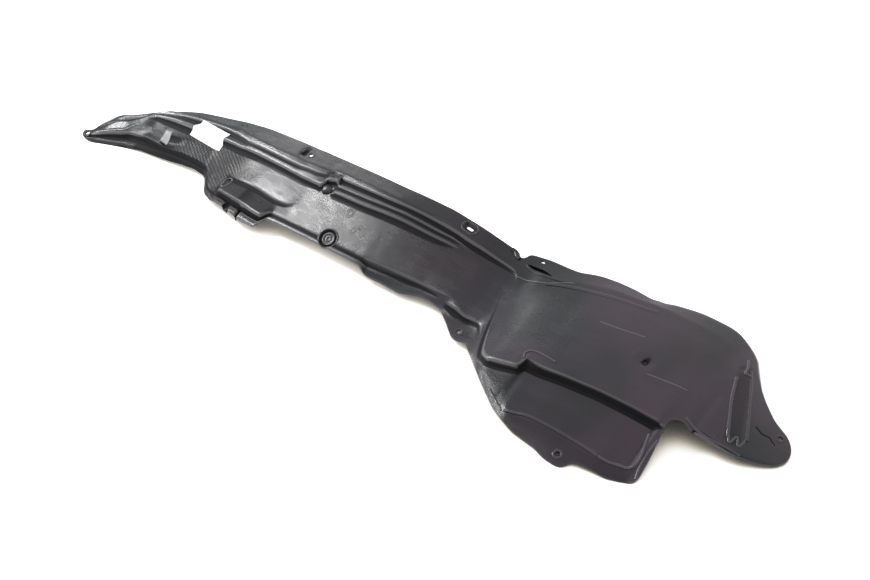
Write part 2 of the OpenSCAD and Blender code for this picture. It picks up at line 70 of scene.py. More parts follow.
# Sizes and colours that a user would change.

def length(name, text, value, low, high):
    return FloatProperty(name=name, description=text + " in mm", default=value, min=low, max=high)


def colour(name, text, value):
    return FloatVectorProperty(name=name, description=text, subtype="COLOR", size=3, default=value,
                               min=0, max=1)


def watts(name, text, value):
    return FloatProperty(name=name, description="Power in watts of " + text, default=value, min=0,
                         max=200)


class LinerShape(bpy.types.PropertyGroup):
    wall: length("Wall", "Thickness of the moulded sheet", 2.5, 1.5, 4)
    low_wall: length("Lower wall", "Height of the lower wall", 9, 3, 14)
    up_wall: length("Upper wall", "Height of the upper wall", 12, 4, 16)
    groove: length("Groove", "Depth of the groove by the near edge", 4, 0, 6)
    pocket: length("Pocket", "Depth of the pocket", 6, 0, 9)
    recess: length("Recess", "Height of the recess wall", 14, 4, 18)
    soft: length("Rounding", "Half width of the rounding at each crease", 1.4, 1, 4)
    station: length("Station", "Distance between cross-sections", 4, 2, 12)


class LinerFinish(bpy.types.PropertyGroup):
    plastic: colour("Plastic", "Colour of the moulded plastic", (0.010, 0.009, 0.013))
    cool: colour("Cool tint", "Cool patches in the plastic", (0.007, 0.012, 0.015))
    warm: colour("Warm tint", "Warm patches in the plastic", (0.048, 0.030, 0.046))
    # Painted shade: the dark colour that creases, steep walls and surfaces tilted away are mixed towards.
    shade: colour("Shade", "Colour of the dull plastic in the creases", (0.005, 0.005, 0.006))
    gloss: FloatProperty(name="Roughness", description="Roughness of the moulded plastic",
                         subtype="FACTOR",
                         default=0.27, min=0.05, max=1)
    paper: colour("Paper", "Colour of the paper label", (0.86, 0.86, 0.85))


class LinerStudio(bpy.types.PropertyGroup):
    floor: colour("Floor", "Colour of the floor", (0.9, 0.9, 0.9))
    web_lamp: watts("Web lamp", "the softbox over the arch strip", 25)
    end_lamp: watts("End lamp", "the softbox beyond the rear end", 38)
    flange_lamp: watts("Flange lamp", "the softbox behind the flange", 12)
    sky: FloatProperty(name="Sky", description="Strength of the light from all round", default=0.40,
                       min=0, max=2)


# The plan of the cut sheet and the places of its holes, in millimetres.

NEAR_EDGE = [
    (-725, -17), (-722, -26), (-714, -34), (-699, -32), (-670, -20), (-632, -6), (-597, 0), (-549, 4),
    (-503, 9), (-466, 10), (-437, 7), (-421, -9), (-401, -32), (-376, -42), (-335, -49), (-290, -58),
    (-255, -61), (-249, -50), (-246, -38), (-100, -38), (-36, -39), (-20, -42), (10, -41), (50, -42),
    (67, -37), (84, -33), (105, -33), (130, -37), (154, -54), (178, -74), (190, -78), (205, -73),
    (230, -93), (274, -128), (319, -160), (348, -175), (370, -183), (415, -190), (438, -198),
    (460, -200), (470, -196), (477, -183), (505, -180), (530, -178), (550, -170), (566, -163),
    (571, -154), (570, -134), (568, -113), (564, -85), (561, -60), (564, -50), (573, -45), (609, -50),
    (633, -47), (671, -41), (700, -25), (716, -13), (725, 2),
]
FAR_EDGE = [
    (724, 20), (716, 36), (703, 50), (690, 57), (675, 64), (653, 82), (633, 100), (617, 124),
    (604, 145), (598, 164), (580, 186), (545, 200), (490, 200), (462, 194), (440, 178), (428, 152),
    (416, 143), (380, 146), (350, 144), (319, 138), (291, 124), (240, 118), (206, 109), (203, 97),
    (199, 92), (194, 93), (190, 99), (171, 100), (149, 101), (107, 104), (50, 108), (-41, 106),
    (-128, 106), (-206, 105), (-273, 105), (-346, 104), (-407, 99), (-455, 91), (-510, 82), (-546, 74),
    (-556, 70), (-573, 69), (-605, 57), (-637, 47), (-668, 36), (-688, 27), (-700, 16), (-705, 2),
    (-706, -12),
]
TAIL_SLIT = [(660, 29), (673, 25), (684, 28), (697, 20)]
FLANGE_SLIT = [(212, 86), (217, 88.5), (231, 91), (241, 91.5), (251, 90), (263, 86), (246, 83.5),
               (227, 84)]
CORNER_HOLE = [(225, 103), (236, 105), (230, 110)]
CLIPS_AT = {"rear": (-711, -23), "near": (185, -60), "recess": (453, -184), "dome": (479, 11),
            "tail": (697, 38)}
SCREW_AT = (-242, 84)
SLOT_AT = (96, 91)
VENTS_AT = [(-691, 8), (-601, 52), (-409, 88), (-400, 90)]
BOSS_AT = (-117, -23)
KNOB_AT = (-174, 48)
SLOT_ANGLE = -8
BAND = ((602, 104), (646, -18))
# The gaps between the blocks at the near edge: place along the strip and half width.
GAPS = ((-332, 5), (-301, 1))


def ring_path(x, y, r, long=0.0, turn=0.0):
    """A round path, stretched by long on each side along the direction turn in degrees."""
    out = []
    c, s = math.cos(math.radians(turn)), math.sin(math.radians(turn))
    for a in np.linspace(0, 2 * math.pi, 17):
        u, v = r * math.cos(a) + math.copysign(long, math.cos(a)), r * math.sin(a)
        out.append((x + u * c - v * s, y + u * s + v * c))
    return out


# Raised lines on the sheet: width, height and the strength of their painted highlight, then paths through
# given points.
BEADS = {
    "band_lips": (5.5, 1.8, 0.45, [
        [(598, 80), (606, 56), (614, 34), (632, -5), (640, -22)],
        [(606, 112), (614, 98), (631, 63), (651, 21), (663, -6)],
    ]),
    "band_folds": (4.5, 2.0, 0.6, [
        [(593, 128), (600, 112), (603, 98), (611, 101)],
        [(639, -18), (646, -28), (650, -12), (659, -24), (662, -8)],
    ]),
    "recess_bead": (5.5, 2.2, 0.5, [
        [(504, -157), (520, -156), (534, -152), (551, -147), (557, -137), (556, -120), (551, -103),
         (548, -88)],
    ]),
    "recess_floor_line": (7, 0.7, 0.3, [
        [(342, -162), (362, -158), (384, -153), (436, -153), (490, -155), (503, -157)],
    ]),
    "recess_pad": (4, 1.3, 0.5, [
        [(322, -80), (317, -71), (322, -64), (331, -61), (350, -62), (368, -64)],
    ]),
    "panel_ridges": (3, 0.6, 0.7, [
        [(380, 40), (410, 44), (453, 54)],
        [(493, -9), (520, -4), (556, 3)],
        [(213, 59), (236, 61), (260, 67), (277, 79), (299, 93)],
    ]),
    "flange_fold": (9, 0.8, 0.35, [
        [(262, 68), (283, 77), (313, 87), (346, 95), (378, 103), (412, 109), (439, 117)],
    ]),
    "tab_lip": (4, 1.6, 0.3, [
        [(212, 85), (225, 80), (241, 78), (262, 81), (282, 85)],
    ]),
    "notch_curl": (8, 3.0, 0.2, [
        [(176, 97), (184, 96), (190, 91), (197, 88)],
    ]),
    "slot_ring": (3, 1.0, 0.6, [
        ring_path(SLOT_AT[0], SLOT_AT[1], 9.5, 6, SLOT_ANGLE),
    ]),
    "edge_roll": (5, 1.5, 0.5, [
        [(578, -38), (609, -43), (633, -40), (668, -34)],
        [(564, -92), (562, -116), (564, -140), (568, -156)],
        [(300, -139), (318, -150), (338, -163)],
    ]),
    "pocket_ring": (2.6, 1.1, 0.7, [
        ring_path(-365, -8, 6.5, 5, 80),
    ]),
    "plain_marks": (1.8, 0.8, 0.9, [
        ring_path(-108, 27, 7), ring_path(-108, 27, 4), ring_path(-84, 5, 4.5), ring_path(-76, 12, 2.5),
    ]),
}
LABEL_AT = (-460, 53)
LABEL_PLAN = [
    (-43.6, -8.5), (36.8, -16.2), (38.8, -8.1), (36, -1.8), (42.4, 10.8), (-26.8, 14.4), (-29.2, 8.5),
    (-38, 3.6),
]
LABEL_GAP = 0.15
LABEL_THICK = 0.4
CLIP_R = 4.0
SCREW_R = 3.5
VENT_R = 1.75
SLOT_WIDTH, SLOT_LENGTH = 6, 13
SLIT_WIDTH = 2.4
BOSS_R = 19.0
KNOB_R = 12.0
# Heights between which an outline or a slit is cut, and how far a drill reaches beyond the sheet.
CUT_LOW, CUT_HIGH = -10, 160
DRILL_REACH = 12

# The lamps: place, where they point, width and height in metres, and the property that holds their power.
LAMPS = {
    "web_softbox": ((-1.44, -0.36, 1.5), (-0.25, 0.0, 0.05), 0.34, 0.5, "web_lamp"),
    "end_softbox": ((-2.5, -0.72, 1.0), (-0.55, 0.0, 0.05), 0.6, 0.6, "end_lamp"),
    "flange_softbox": ((-2.62, 2.17, 2.6), (-0.3, 0.1, 0.05), 1.1, 1.0, "flange_lamp"),
}
# The camera: where it aims, its distance in metres, its turn and rise in degrees, and its lens in mm.
CAMERA_AIM = (0.082, 0.013, 0)
CAMERA_DISTANCE = 2.4
CAMERA_TURN = 37
CAMERA_RISE = 40
CAMERA_LENS = 60
# The floor: half its width, and how far it lies under the liner, in metres.
FLOOR_HALF = 7
FLOOR_DROP = 0.0004
# Radius and height from the middle of the button out to the rim and back under it, then the strength of
# the painted highlight and of the painted shade there.
BOSS_PROFILE = [
    (0, -2.6, 0.2, 0), (2.4, -2.6, 0.2, 0), (3.2, -1.9, 0.7, 0), (4.4, -1.9, 0.6, 0), (5.2, -2.7, 0, 0.2),
    (8.2, -2.5, 0.2, 0), (9.4, -1.4, 0.8, 0), (10.8, -1.3, 0.8, 0), (11.8, -2.2, 0.3, 0),
    (12.4, -4, 0, 0.3), (13.2, -4.6, 0, 0.5), (14.4, -4.4, 0, 0.5), (15.4, -3, 0, 0.3),
    (16.2, -0.4, 0.1, 0), (17, 0.9, 0.6, 0), (18, 1.0, 0.5, 0), (18.8, 0.4, 0, 0), (19, -0.4, 0, 0),
    (18.6, -1.8, 0, 0), (16.9, -2.4, 0, 0), (15.6, -6.4, 0, 0), (13.6, -8, 0, 0),
    (10.2, -7, 0, 0), (8.6, -4.6, 0, 0), (0, -4.6, 0, 0),
]


# Cross-sections: fourteen points from the near edge to the far hem at each station.

def pt(y, z):
    return np.array([y, z], float)


def mix(a, t, b):
    return a + t * (b - a)


def arch(s, x, edge, shelf, groove, web, on_web, foot, low, ledge, up, lip, crest):
    """Arch strip: edge, shelf, groove, web, lower wall, ledge, upper wall, lip, crest, hem."""
    web, foot, ledge, lip, crest = pt(*web), pt(*foot), pt(*ledge), pt(*lip), pt(*crest)
    shelf_end = pt(shelf[0] + shelf[2], shelf[1] + shelf[3])
    dip = shelf_end + pt(3.5, -groove * s.groove)
    if isinstance(on_web[0], tuple):
        a = pt(*on_web[0])
        b = a + pt(4, on_web[1] * s.pocket)
    else:
        a = mix(web, on_web[0], foot) - pt(0, on_web[2])
        b = mix(web, on_web[1], foot) - pt(0, on_web[2])
    top = foot + pt(min(2, 0.4 * (ledge[0] - foot[0])), low * s.low_wall)
    high = ledge + pt(min(4, 0.45 * (lip[0] - ledge[0])), up * s.up_wall)
    return x, [pt(*edge), pt(shelf[0], shelf[1]), shelf_end, dip, web, a, b, foot, top, ledge, high, lip,
               crest, crest + pt(4, -2)]


def steps(s, x, edge, shelf, groove, web, low, low_rise, mid, mid_rise, foot, up, lip, crest):
    """Arch strip past the jog: two low steps stand on the web before the upper wall."""
    low, mid, foot, crest = pt(*low), pt(*mid), pt(*foot), pt(*crest)
    shelf_end = pt(shelf[0] + shelf[2], shelf[1] + shelf[3])
    dip = shelf_end + pt(3.5, -groove * s.groove)
    return x, [pt(*edge), pt(shelf[0], shelf[1]), shelf_end, dip, pt(*web), low,
               low + pt(2, low_rise * s.low_wall),
               mid, mid + pt(2, mid_rise * s.low_wall), foot, foot + pt(2, up * s.up_wall), pt(*lip),
               crest, crest + pt(4, -2)]


def front(s, x, edge, floor_edge, top, depth, crown, crease, crest, hem, run=4):
    """Front panel: edge, lip, recess floor, recess wall, dome, crease, crest, hem."""
    edge, floor_edge, top, crease = pt(*edge), pt(*floor_edge), pt(*top), pt(*crease)
    foot = top - pt(run, depth * s.recess)
    dome = [mix(top, t, crease) + pt(0, 4 * crown * t * (1 - t)) for t in (0.16, 0.36, 0.58, 0.8)]
    return x, [edge, mix(edge, 0.5, floor_edge) + pt(0, 1), floor_edge, mix(floor_edge, 0.33, foot),
               mix(floor_edge, 0.68, foot), foot, top, *dome, crease, pt(*crest), pt(*hem)]


def tail(s, x, edge, bead, crown, crest, hem):
    """Tail: edge with its rolled bead, crowned sheet, crest, hem."""
    edge, crest = pt(*edge), pt(*crest)
    web = edge + pt(19, 8 * bead)
    across = [mix(web, t, crest) + pt(0, 4 * crown * t * (1 - t)) for t in (0.08, 0.18, 0.3, 0.45, 0.6,
                                                                            0.74, 0.88)]
    return x, [edge, edge + pt(6, 5 * bead), edge + pt(10, 7 * bead),
               edge + pt(14, (7 - s.groove / 2) * bead),
               web, *across, crest, pt(*hem)]


def stations(s):
    """All cross-sections, from the rear end to the front tip."""
    level = ((-43, 25), (-38, 33, 4, 2), 0.8, (-25, 37))
    return [
        arch(s, -730, (-52, 9), (-46, 9, 5, 0), 0, (-36, 9), (0.3, 0.6, 0), (-16, 9), 0, (-8, 9),
              0, (-2, 9), (3, 9)),
        arch(s, -702, (-37, 0), (-33, 5, 4, 3), 0, (-24, 11), (0.3, 0.6, 0), (-15, 15), 0, (0, 18),
              0, (10, 19), (20, 20)),
        arch(s, -670, (-25, -3), (-18, 7, 7, 2), 0, (-4, 17), (0.3, 0.6, 0), (3, 22), 0, (20, 31),
              0, (30, 35), (40, 39)),
        arch(s, -650, (-17, -3), (-11, 8, 9, 2), 0, (5, 20), (0.3, 0.6, 0), (12, 26), 0, (28, 34),
              0, (38, 39), (47, 44)),
        arch(s, -632, (-10, -2), (-4, 9, 10, 3), 0, (13, 24), (0.3, 0.6, 0), (27, 35), 0.1, (37, 41),
              0, (45, 45), (53, 49)),
        arch(s, -611, (-7, 1), (-1, 10, 8, 4), 0, (15, 26), (0.3, 0.6, 1), (42, 46), 0.2, (48, 51),
              0.1, (55, 54), (61, 57)),
        arch(s, -590, (-4, 4), (2, 11, 7, 4), 0, (16, 28), (0.3, 0.6, 3), (51, 51), 0.6, (58, 58),
              0.3, (64, 61), (69, 63)),
        arch(s, -550, (0, 6), (6, 11, 3, 5), 0, (15, 28), (0.3, 0.6, 3), (51, 55), 1.1, (60, 67),
              0.4, (68, 71), (76, 72)),
        arch(s, -500, (5, 8), (9, 14, 3, 6), 0, (17, 30), (0.3, 0.6, 3), (50, 60), 1.15, (62, 72),
              0.6, (71, 81), (86, 82)),
        arch(s, -440, (3, 10), (7, 15, 2, 6), 0, (14, 31), (0.3, 0.6, 1), (50, 65), 1.05, (65, 77),
              0.6, (75, 86), (95, 88)),
        arch(s, -420, (-16, 10), (-10, 15, 4, 6), 0, (0, 28), (0.2, 0.4, 0), (50, 66), 1, (66, 78),
              0.55, (77, 87), (99, 90)),
        arch(s, -400, (-37, 9), (-32, 14, 5, 5), 0, (-16, 25), (0.2, 0.4, 0), (50, 67), 0.9, (65, 79),
              0.55, (76, 89), (102, 92)),
        arch(s, -377, (-46, 9), (-41, 18, 6, 3), 0.2, (-21, 26), ((2, 40), 0.4), (49, 68),
              0.9, (61, 80), 0.55, (71, 90), (104, 94)),
        arch(s, -366, (-49, 10), (-44, 21, 8, 2), 1, (-26, 34), ((2, 38), 0.8), (49, 69),
              0.9, (59, 81), 0.5, (70, 91), (105, 95)),
        arch(s, -300, (-61, 11), (-55, 23, 9, 3), 1.2, (-37, 38), ((-2, 44), 1), (46, 71),
              0.95, (55, 83), 0.5, (67, 93), (107, 97)),
        arch(s, -256, (-66, 14), (-60, 24, 10, 3), 1.2, (-42, 37), ((-7, 44), 0.9), (43, 72),
              0.9, (53, 84), 0.5, (66, 94), (106, 98)),
        arch(s, -240, (-43, 24), (-38, 33, 4, 1), 0.8, (-25, 37), ((-8, 45), 0.85), (42, 72),
              0.9, (53, 85), 0.45, (66, 94), (106, 98)),
        arch(s, -224, *level, ((-7, 46), 0.7), (41, 72),
              0.9, (54, 86), 0.4, (67, 95), (107, 99)),
        arch(s, -206, *level, (0.3, 0.5, 0), (41, 72),
              0.9, (55, 86), 0.4, (68, 95), (107, 99)),
        arch(s, -188, *level, (0.3, 0.6, 0), (41, 72), 1, (59, 87),
              0.35, (70, 95), (107, 99)),
        arch(s, -178, *level, (0.78, 0.82, 0), (54, 79),
              1.1, (66, 92), 0.05, (74, 96), (107, 99)),
        arch(s, -163, *level, (0.77, 0.8, 0), (57, 80.5),
              0.95, (68, 93), 0.05, (76, 96), (107, 99)),
        steps(s, -156, *level, (41, 72), 0.75, (53, 80),
              0.45, (66, 85), 0.5, (77, 96), (107, 99)),
        steps(s, -100, (-43, 25), (-38, 33, 4, 1), 0.8, (-25, 36), (42, 73), 0.75, (54, 81),
              0.45, (67, 86), 0.5, (77, 96), (108, 99)),
        steps(s, -44, (-43, 25), (-38, 33, 4, 1), 0.8, (-25, 36), (45, 74), 0.75, (57, 82),
              0.4, (68, 86), 0.55, (78, 96), (108, 98)),
        steps(s, -24, (-46, 13), (-40, 20, 6, 6), -0.3, (-24, 36), (46, 74), 0.75, (58, 82),
              0.4, (69, 86), 0.55, (79, 95), (109, 98)),
        steps(s, 50, (-47, 11), (-40, 17, 11, 8), -0.5, (-20, 36), (48, 71), 0.6, (60, 76),
              0.4, (71, 80), 0.6, (80, 91), (111, 95)),
        steps(s, 85, (-40, 15), (-34, 20, 7, 6), -0.5, (-19, 35), (51, 69), 0.35, (62, 73),
              0.3, (70, 76), 0.65, (79, 87), (108, 92)),
        steps(s, 108, (-38, 17), (-33, 21, 5, 5), -0.5, (-19, 35), (52, 67), 0.1, (61, 71),
              0.15, (68, 73), 0.65, (78, 84), (107, 90)),
        steps(s, 130, (-43, 15), (-36, 19, 6, 5), -1, (-19, 35), (50, 64), 0.1, (60, 68),
              0.1, (67, 71), 0.6, (77, 81), (105, 87)),
        steps(s, 155, (-62, 13), (-46, 16, 12, 5), -2.2, (-19, 34), (45, 61), 0.1, (57, 65),
              0.1, (66, 68), 0.5, (77, 77), (104, 83)),
        steps(s, 180, (-82, 12), (-60, 14, 22, 5), -2, (-19, 33), (42, 57), 0.1, (54, 62),
              0.1, (65, 66), 0.35, (77, 74), (103, 78)),
        steps(s, 205, (-82, 12), (-66, 14, 28, 8), -1.4, (-22, 32), (32, 51), 0.1, (46, 57),
              0.1, (62, 64), 0.2, (78, 71), (108, 74)),
        front(s, 230, (-99, 11), (-78, 20), (-46, 32), 0.3, 0, (76, 68), (116, 72), (122, 70)),
        front(s, 252, (-116, 9), (-104, 18), (-90, 31), 0.4, 1, (76, 70), (120, 70), (126, 68)),
        front(s, 272, (-132, 8), (-118, 21), (-101, 37), 0.75, 3, (82, 70), (123, 68), (129, 66)),
        front(s, 310, (-160, 6), (-133, 20), (-98, 44), 0.8, 5, (99, 70), (137, 66), (143, 64)),
        front(s, 321, (-167, 5), (-141, 18), (-95, 46), 0.8, 5, (104, 70), (141, 65), (147, 63)),
        front(s, 327, (-170, 5), (-145, 18), (-79, 50), 0.95, 4, (106, 70), (142, 65), (148, 63), 10),
        front(s, 338, (-176, 4), (-155, 18), (-81, 50), 0.95, 5, (110, 70), (145, 64), (151, 62), 7),
        front(s, 352, (-183, 4), (-161, 17), (-83, 50), 0.95, 6, (115, 70), (148, 63), (154, 61)),
        front(s, 400, (-196, 1), (-155, 19), (-78, 50), 0.85, 9, (124, 67), (149, 60), (155, 58)),
        front(s, 425, (-203, 0), (-154, 19), (-76, 50), 0.85, 9, (130, 65), (150, 58), (158, 40)),
        front(s, 450, (-208, 0), (-154, 18), (-74, 50), 0.85, 9, (134, 62), (162, 54), (195, -10)),
        front(s, 500, (-192, 4), (-157, 15), (-73, 49), 0.85, 9, (138, 57), (174, 49), (206, -10)),
        front(s, 535, (-187, 0), (-151, 11), (-72, 46), 0.85, 9, (140, 52), (176, 45), (206, -10)),
        front(s, 548, (-181, -2), (-146, 11), (-72, 45), 0.85, 9, (138, 50), (174, 44), (204, -10)),
        front(s, 556, (-177, -4), (-142, 14), (-70, 41), 0.3, 9, (137, 49), (172, 43), (202, -10)),
        front(s, 576, (-176, -4), (-142, 11), (-64, 37), 0.2, 10, (131, 44), (163, 39), (192, -10)),
        tail(s, 600, (-58, 26), 1, 11, (146, 34), (172, -8)),
        tail(s, 622, (-56, 22), 1, 8, (114, 27), (128, 16)),
        tail(s, 650, (-53, 16), 0.8, 4, (84, 17), (92, 13)),
        tail(s, 680, (-44, 9), 0.5, 1.5, (62, 10), (69, 7)),
        tail(s, 705, (-32, 5), 0.4, 0.5, (48, 7), (55, 5)),
        tail(s, 730, (-20, 4), 0.2, 0, (41, 6), (47, 5)),
    ]


def ramp(a, b, v):
    t = np.clip((v - a) / (b - a), 0, 1)
    return t * t * (3 - 2 * t)


def bump(a, b, e, v):
    return ramp(a - e, a, v) * (1 - ramp(b, b + e, v))


def to_segment(x, y, a, b):
    """Distance from places to the line between a and b, and the share of the way along it."""
    dx, dy = b[0] - a[0], b[1] - a[1]
    t = np.clip(((x - a[0]) * dx + (y - a[1]) * dy) / (dx * dx + dy * dy), 0, 1)
    return np.hypot(x - a[0] - t * dx, y - a[1] - t * dy), t


def to_path(x, y, path):
    best = np.full(np.shape(x), 1e9)
    for a, b in zip(path[:-1], path[1:]):
        best = np.minimum(best, to_segment(x, y, a, b)[0])
    return best


def block_gaps(x):
    """How far each place along the strip lies in a gap between the blocks."""
    return np.maximum.reduce([bump(g - w, g + w, 3, x) for g, w in GAPS])


class Sheet:
    """The outer side of the moulded sheet as a height over each place, in millimetres."""

    def __init__(self, shape):
        made = stations(shape)
        self.soft = shape.soft
        self.wall = shape.wall
        self.x = np.array([m[0] for m in made], float)
        self.p = np.array([m[1] for m in made])
        step = np.diff(self.x)[:, None, None]
        grade = np.diff(self.p, axis=0) / step
        a, b = grade[:-1], grade[1:]
        same = a * b > 0
        mid = np.where(same, 2 * a * b / np.where(same, a + b, 1), 0)
        self.tangent = np.concatenate([grade[:1], mid, grade[-1:]])

    def sections(self, x):
        i = np.clip(np.searchsorted(self.x, x, side="right") - 1, 0, len(self.x) - 2)
        w = (self.x[i + 1] - self.x[i])[:, None, None]
        t = ((x - self.x[i]) / w[:, 0, 0])[:, None, None]
        t2, t3 = t * t, t * t * t
        return ((2 * t3 - 3 * t2 + 1) * self.p[i] + (t3 - 2 * t2 + t) * w * self.tangent[i]
                + (3 * t2 - 2 * t3) * self.p[i + 1] + (t3 - t2) * w * self.tangent[i + 1])

    @staticmethod
    def sharp(sec, y):
        """Height on each section, sec (n, 14, 2), at the places y (n, m)."""
        k = np.clip((y[:, :, None] >= sec[:, None, 1:13, 0]).sum(axis=2), 0, 12)
        rows = np.arange(len(y))[:, None]
        a, b = sec[rows, k], sec[rows, k + 1]
        return a[..., 1] + (b[..., 1] - a[..., 1]) * (y - a[..., 0]) / (b[..., 0] - a[..., 0])

    def rounded(self, sec, y, soft):
        total = 0
        weights = ((-1, 1), (-0.6, 2), (-0.25, 3), (0, 3), (0.25, 3), (0.6, 2), (1, 1))
        for off, w in weights:
            total = total + w * self.sharp(sec, y + off * soft)
        return total / 15

    def relief(self, x, y):
        """Small moulded shapes that stand on the lofted sheet."""
        total = -6 * bump(-56, -42, 3, y) * block_gaps(x)
        # Hollow with one steep side near the rear end, and a dimple beside the screw hole.
        total = total - 6 * np.maximum(0, np.minimum((x + 561) / 14, (-507 - x) / 40)) * bump(20, 33, 6,
                                                                                              y)
        total = total - 6 * (1 - ramp(0.3, 1, np.hypot((x + 256) / 9, (y - 85) / 8)))
        # Dish round the hole in the dome, and the oval pad round the long hole.
        r = np.hypot(x - CLIPS_AT["dome"][0], y - CLIPS_AT["dome"][1])
        total = total - 1.4 * (1 - ramp(6, 20, r)) + 0.4 * bump(19, 22, 5, r)
        d = to_segment(x, y, (SLOT_AT[0] - 5, SLOT_AT[1] + 0.7), (SLOT_AT[0] + 5, SLOT_AT[1] - 0.7))[0]
        total = total - 1.8 * (1 - ramp(6, 10, d))
        # Raised band, which carries its lips and folds.
        d, t = to_segment(x, y, BAND[0], BAND[1])
        total = total + 1.6 * (1 - ramp(6, 17, d)) * ramp(0, 0.08, t) * (1 - ramp(0.92, 1, t))
        return total

    def over(self, sec, x, y):
        """Rounded height: narrow at the creases, wide inside the front panel and where the strip ends."""
        place = x[:, 0]
        fine = (self.rounded(sec, y, self.soft) + self.rounded(self.sections(place - 1.5), y, self.soft)
                + self.rounded(self.sections(place + 1.5), y, self.soft)) / 3
        if place[-1] < 190 or place[0] > 600:
            return fine + self.relief(x, y)
        wide = 0
        for off, share in ((-12, 1), (-6, 2), (0, 2), (6, 2), (12, 1)):
            wide = wide + share / 8 * self.rounded(self.sections(place + off), y, 12)
        inside = ramp(12, 34, y - sec[:, 6:7, 0]) * ramp(8, 26, sec[:, 11:12, 0] - y) * bump(262, 575,
                                                                                             20, x)
        meeting = bump(208, 250, 14, x) * ramp(-60, -30, y) * (1 - ramp(40, 58, y))
        return fine + np.maximum(inside, meeting) * (wide - fine) + self.relief(x, y)

    def height(self, x, y):
        x, y = np.atleast_1d(x).astype(float), np.atleast_1d(y).astype(float)
        return self.over(self.sections(x), x[:, None], y[:, None])[:, 0]

    def under(self, sec, x, y):
        """Height of the inner side, one wall inside the outer side."""
        t, g = self.wall, 0.7
        ahead, behind = self.sections(x[:, 0] + t), self.sections(x[:, 0] - t)
        s = self.soft
        low = np.minimum.reduce([
            self.rounded(sec, y, s) - t,
            self.rounded(sec, y - t, s), self.rounded(sec, y + t, s),
            self.rounded(sec, y - g * t, s) - g * t, self.rounded(sec, y + g * t, s) - g * t,
            self.rounded(ahead, y, s), self.rounded(behind, y, s)])
        return low + self.relief(x, y)

    def normal(self, x, y):
        e = 5.0
        gx = (self.height(x + e, y) - self.height(x - e, y))[0] / (2 * e)
        gy = (self.height(x, y + e) - self.height(x, y - e))[0] / (2 * e)
        return Vector((-gx, -gy, 1)).normalized()

    def place(self, spot):
        return Vector((spot[0], spot[1], float(self.height(spot[0], spot[1])[0]))) * MM


# How many rows of the mesh lie between one point of a section and the next.
ROWS = [3, 3, 3, 4, 11, 4, 8, 4, 6, 4, 6, 7, 4]


def row_places(sec):
    """Rows that follow the section points and gather near them."""
    rows = [sec[:, 0:1, 0]]
    for k, n in enumerate(ROWS):
        t = 0.5 - 0.5 * np.cos(np.pi * np.arange(1, n + 1) / n)
        t = 0.5 * t + 0.5 * np.arange(1, n + 1) / n
        rows.append(sec[:, k:k + 1, 0] + t[None, :] * (sec[:, k + 1:k + 2, 0] - sec[:, k:k + 1, 0]))
    return np.concatenate(rows, axis=1)


# Where the stations stand closer together, because a detail needs it.
DENSE = ((-570, -500), (-430, -295), (-262, -236), (-196, -148), (316, 356), (540, 562), (590, 664))


def station_places(step):
    """Stations at an even step, closer together where a detail needs it."""
    xs = [float(v) for v in np.arange(-730, 730.01, step)]
    for lo, hi in DENSE:
        xs += [float(v) for v in np.arange(lo, hi, step / 2)]
    return np.array(sorted(set(round(v, 2) for v in xs)))


def new_object(name, mesh):
    obj = bpy.data.objects.new(name, mesh)
    bpy.context.scene.collection.objects.link(obj)
    return obj


def mesh_from(name, verts, faces):
    mesh = bpy.data.meshes.new(name)
    mesh.from_pydata([tuple(v) for v in verts], [], faces)
    mesh.update()
    return mesh


def shell_mesh(name, high, low):
    """A closed mesh between two grids of points of the same shape."""
    nx, ny = high.shape[:2]
    verts = np.concatenate([high.reshape(-1, 3), low.reshape(-1, 3)]) * MM
    n = nx * ny
    i, j = np.meshgrid(np.arange(nx - 1), np.arange(ny - 1), indexing="ij")
    a = (i * ny + j).ravel()
    b, c, d = a + ny, a + ny + 1, a + 1
    faces = np.stack([a, b, c, d], axis=1).tolist()
    faces += np.stack([a + n, d + n, c + n, b + n], axis=1).tolist()
    ring = [k * ny for k in range(nx)] + [(nx - 1) * ny + k for k in range(1, ny)]
    ring += [k * ny + ny - 1 for k in range(nx - 2, -1, -1)] + [k for k in range(ny - 2, 0, -1)]
    for p, q in zip(ring, ring[1:] + ring[:1]):
        faces.append([q, p, p + n, q + n])
    return mesh_from(name, verts, faces)


def eased(points, cut):
    """A closed outline with its corners rounded."""
    out = []
    n = len(points)
    for i in range(n):
        p, c, q = (np.array(points[k % n], float) for k in (i - 1, i, i + 1))
        a = c + (p - c) * min(0.45, cut / np.linalg.norm(p - c))
        b = c + (q - c) * min(0.45, cut / np.linalg.norm(q - c))
        for t in (0.0, 0.33, 0.67, 1.0):
            v = (1 - t) ** 2 * a + 2 * t * (1 - t) * c + t * t * b
            if not out or np.linalg.norm(v - out[-1]) > 0.05:
                out.append(v)
    return out


def drum(name, low, high):
    """A closed mesh between two rings with the same number of points."""
    n = len(low)
    faces = [[i, (i + 1) % n, n + (i + 1) % n, n + i] for i in range(n)]
    faces += [list(range(n - 1, -1, -1)), list(range(n, 2 * n))]
    mesh = mesh_from(name, list(low) + list(high), faces)
    fix_normals(mesh)
    return mesh


def prism(name, points, z0, z1):
    """A flat outline raised from one height to another."""
    return drum(name, *([(p[0] * MM, p[1] * MM, z * MM) for p in points] for z in (z0, z1)))


def fix_normals(mesh, dist=None):
    bm = bmesh.new()
    bm.from_mesh(mesh)
    if dist:
        bmesh.ops.remove_doubles(bm, verts=bm.verts, dist=dist)
    bmesh.ops.recalc_face_normals(bm, faces=bm.faces)
    bm.to_mesh(mesh)
    bm.free()


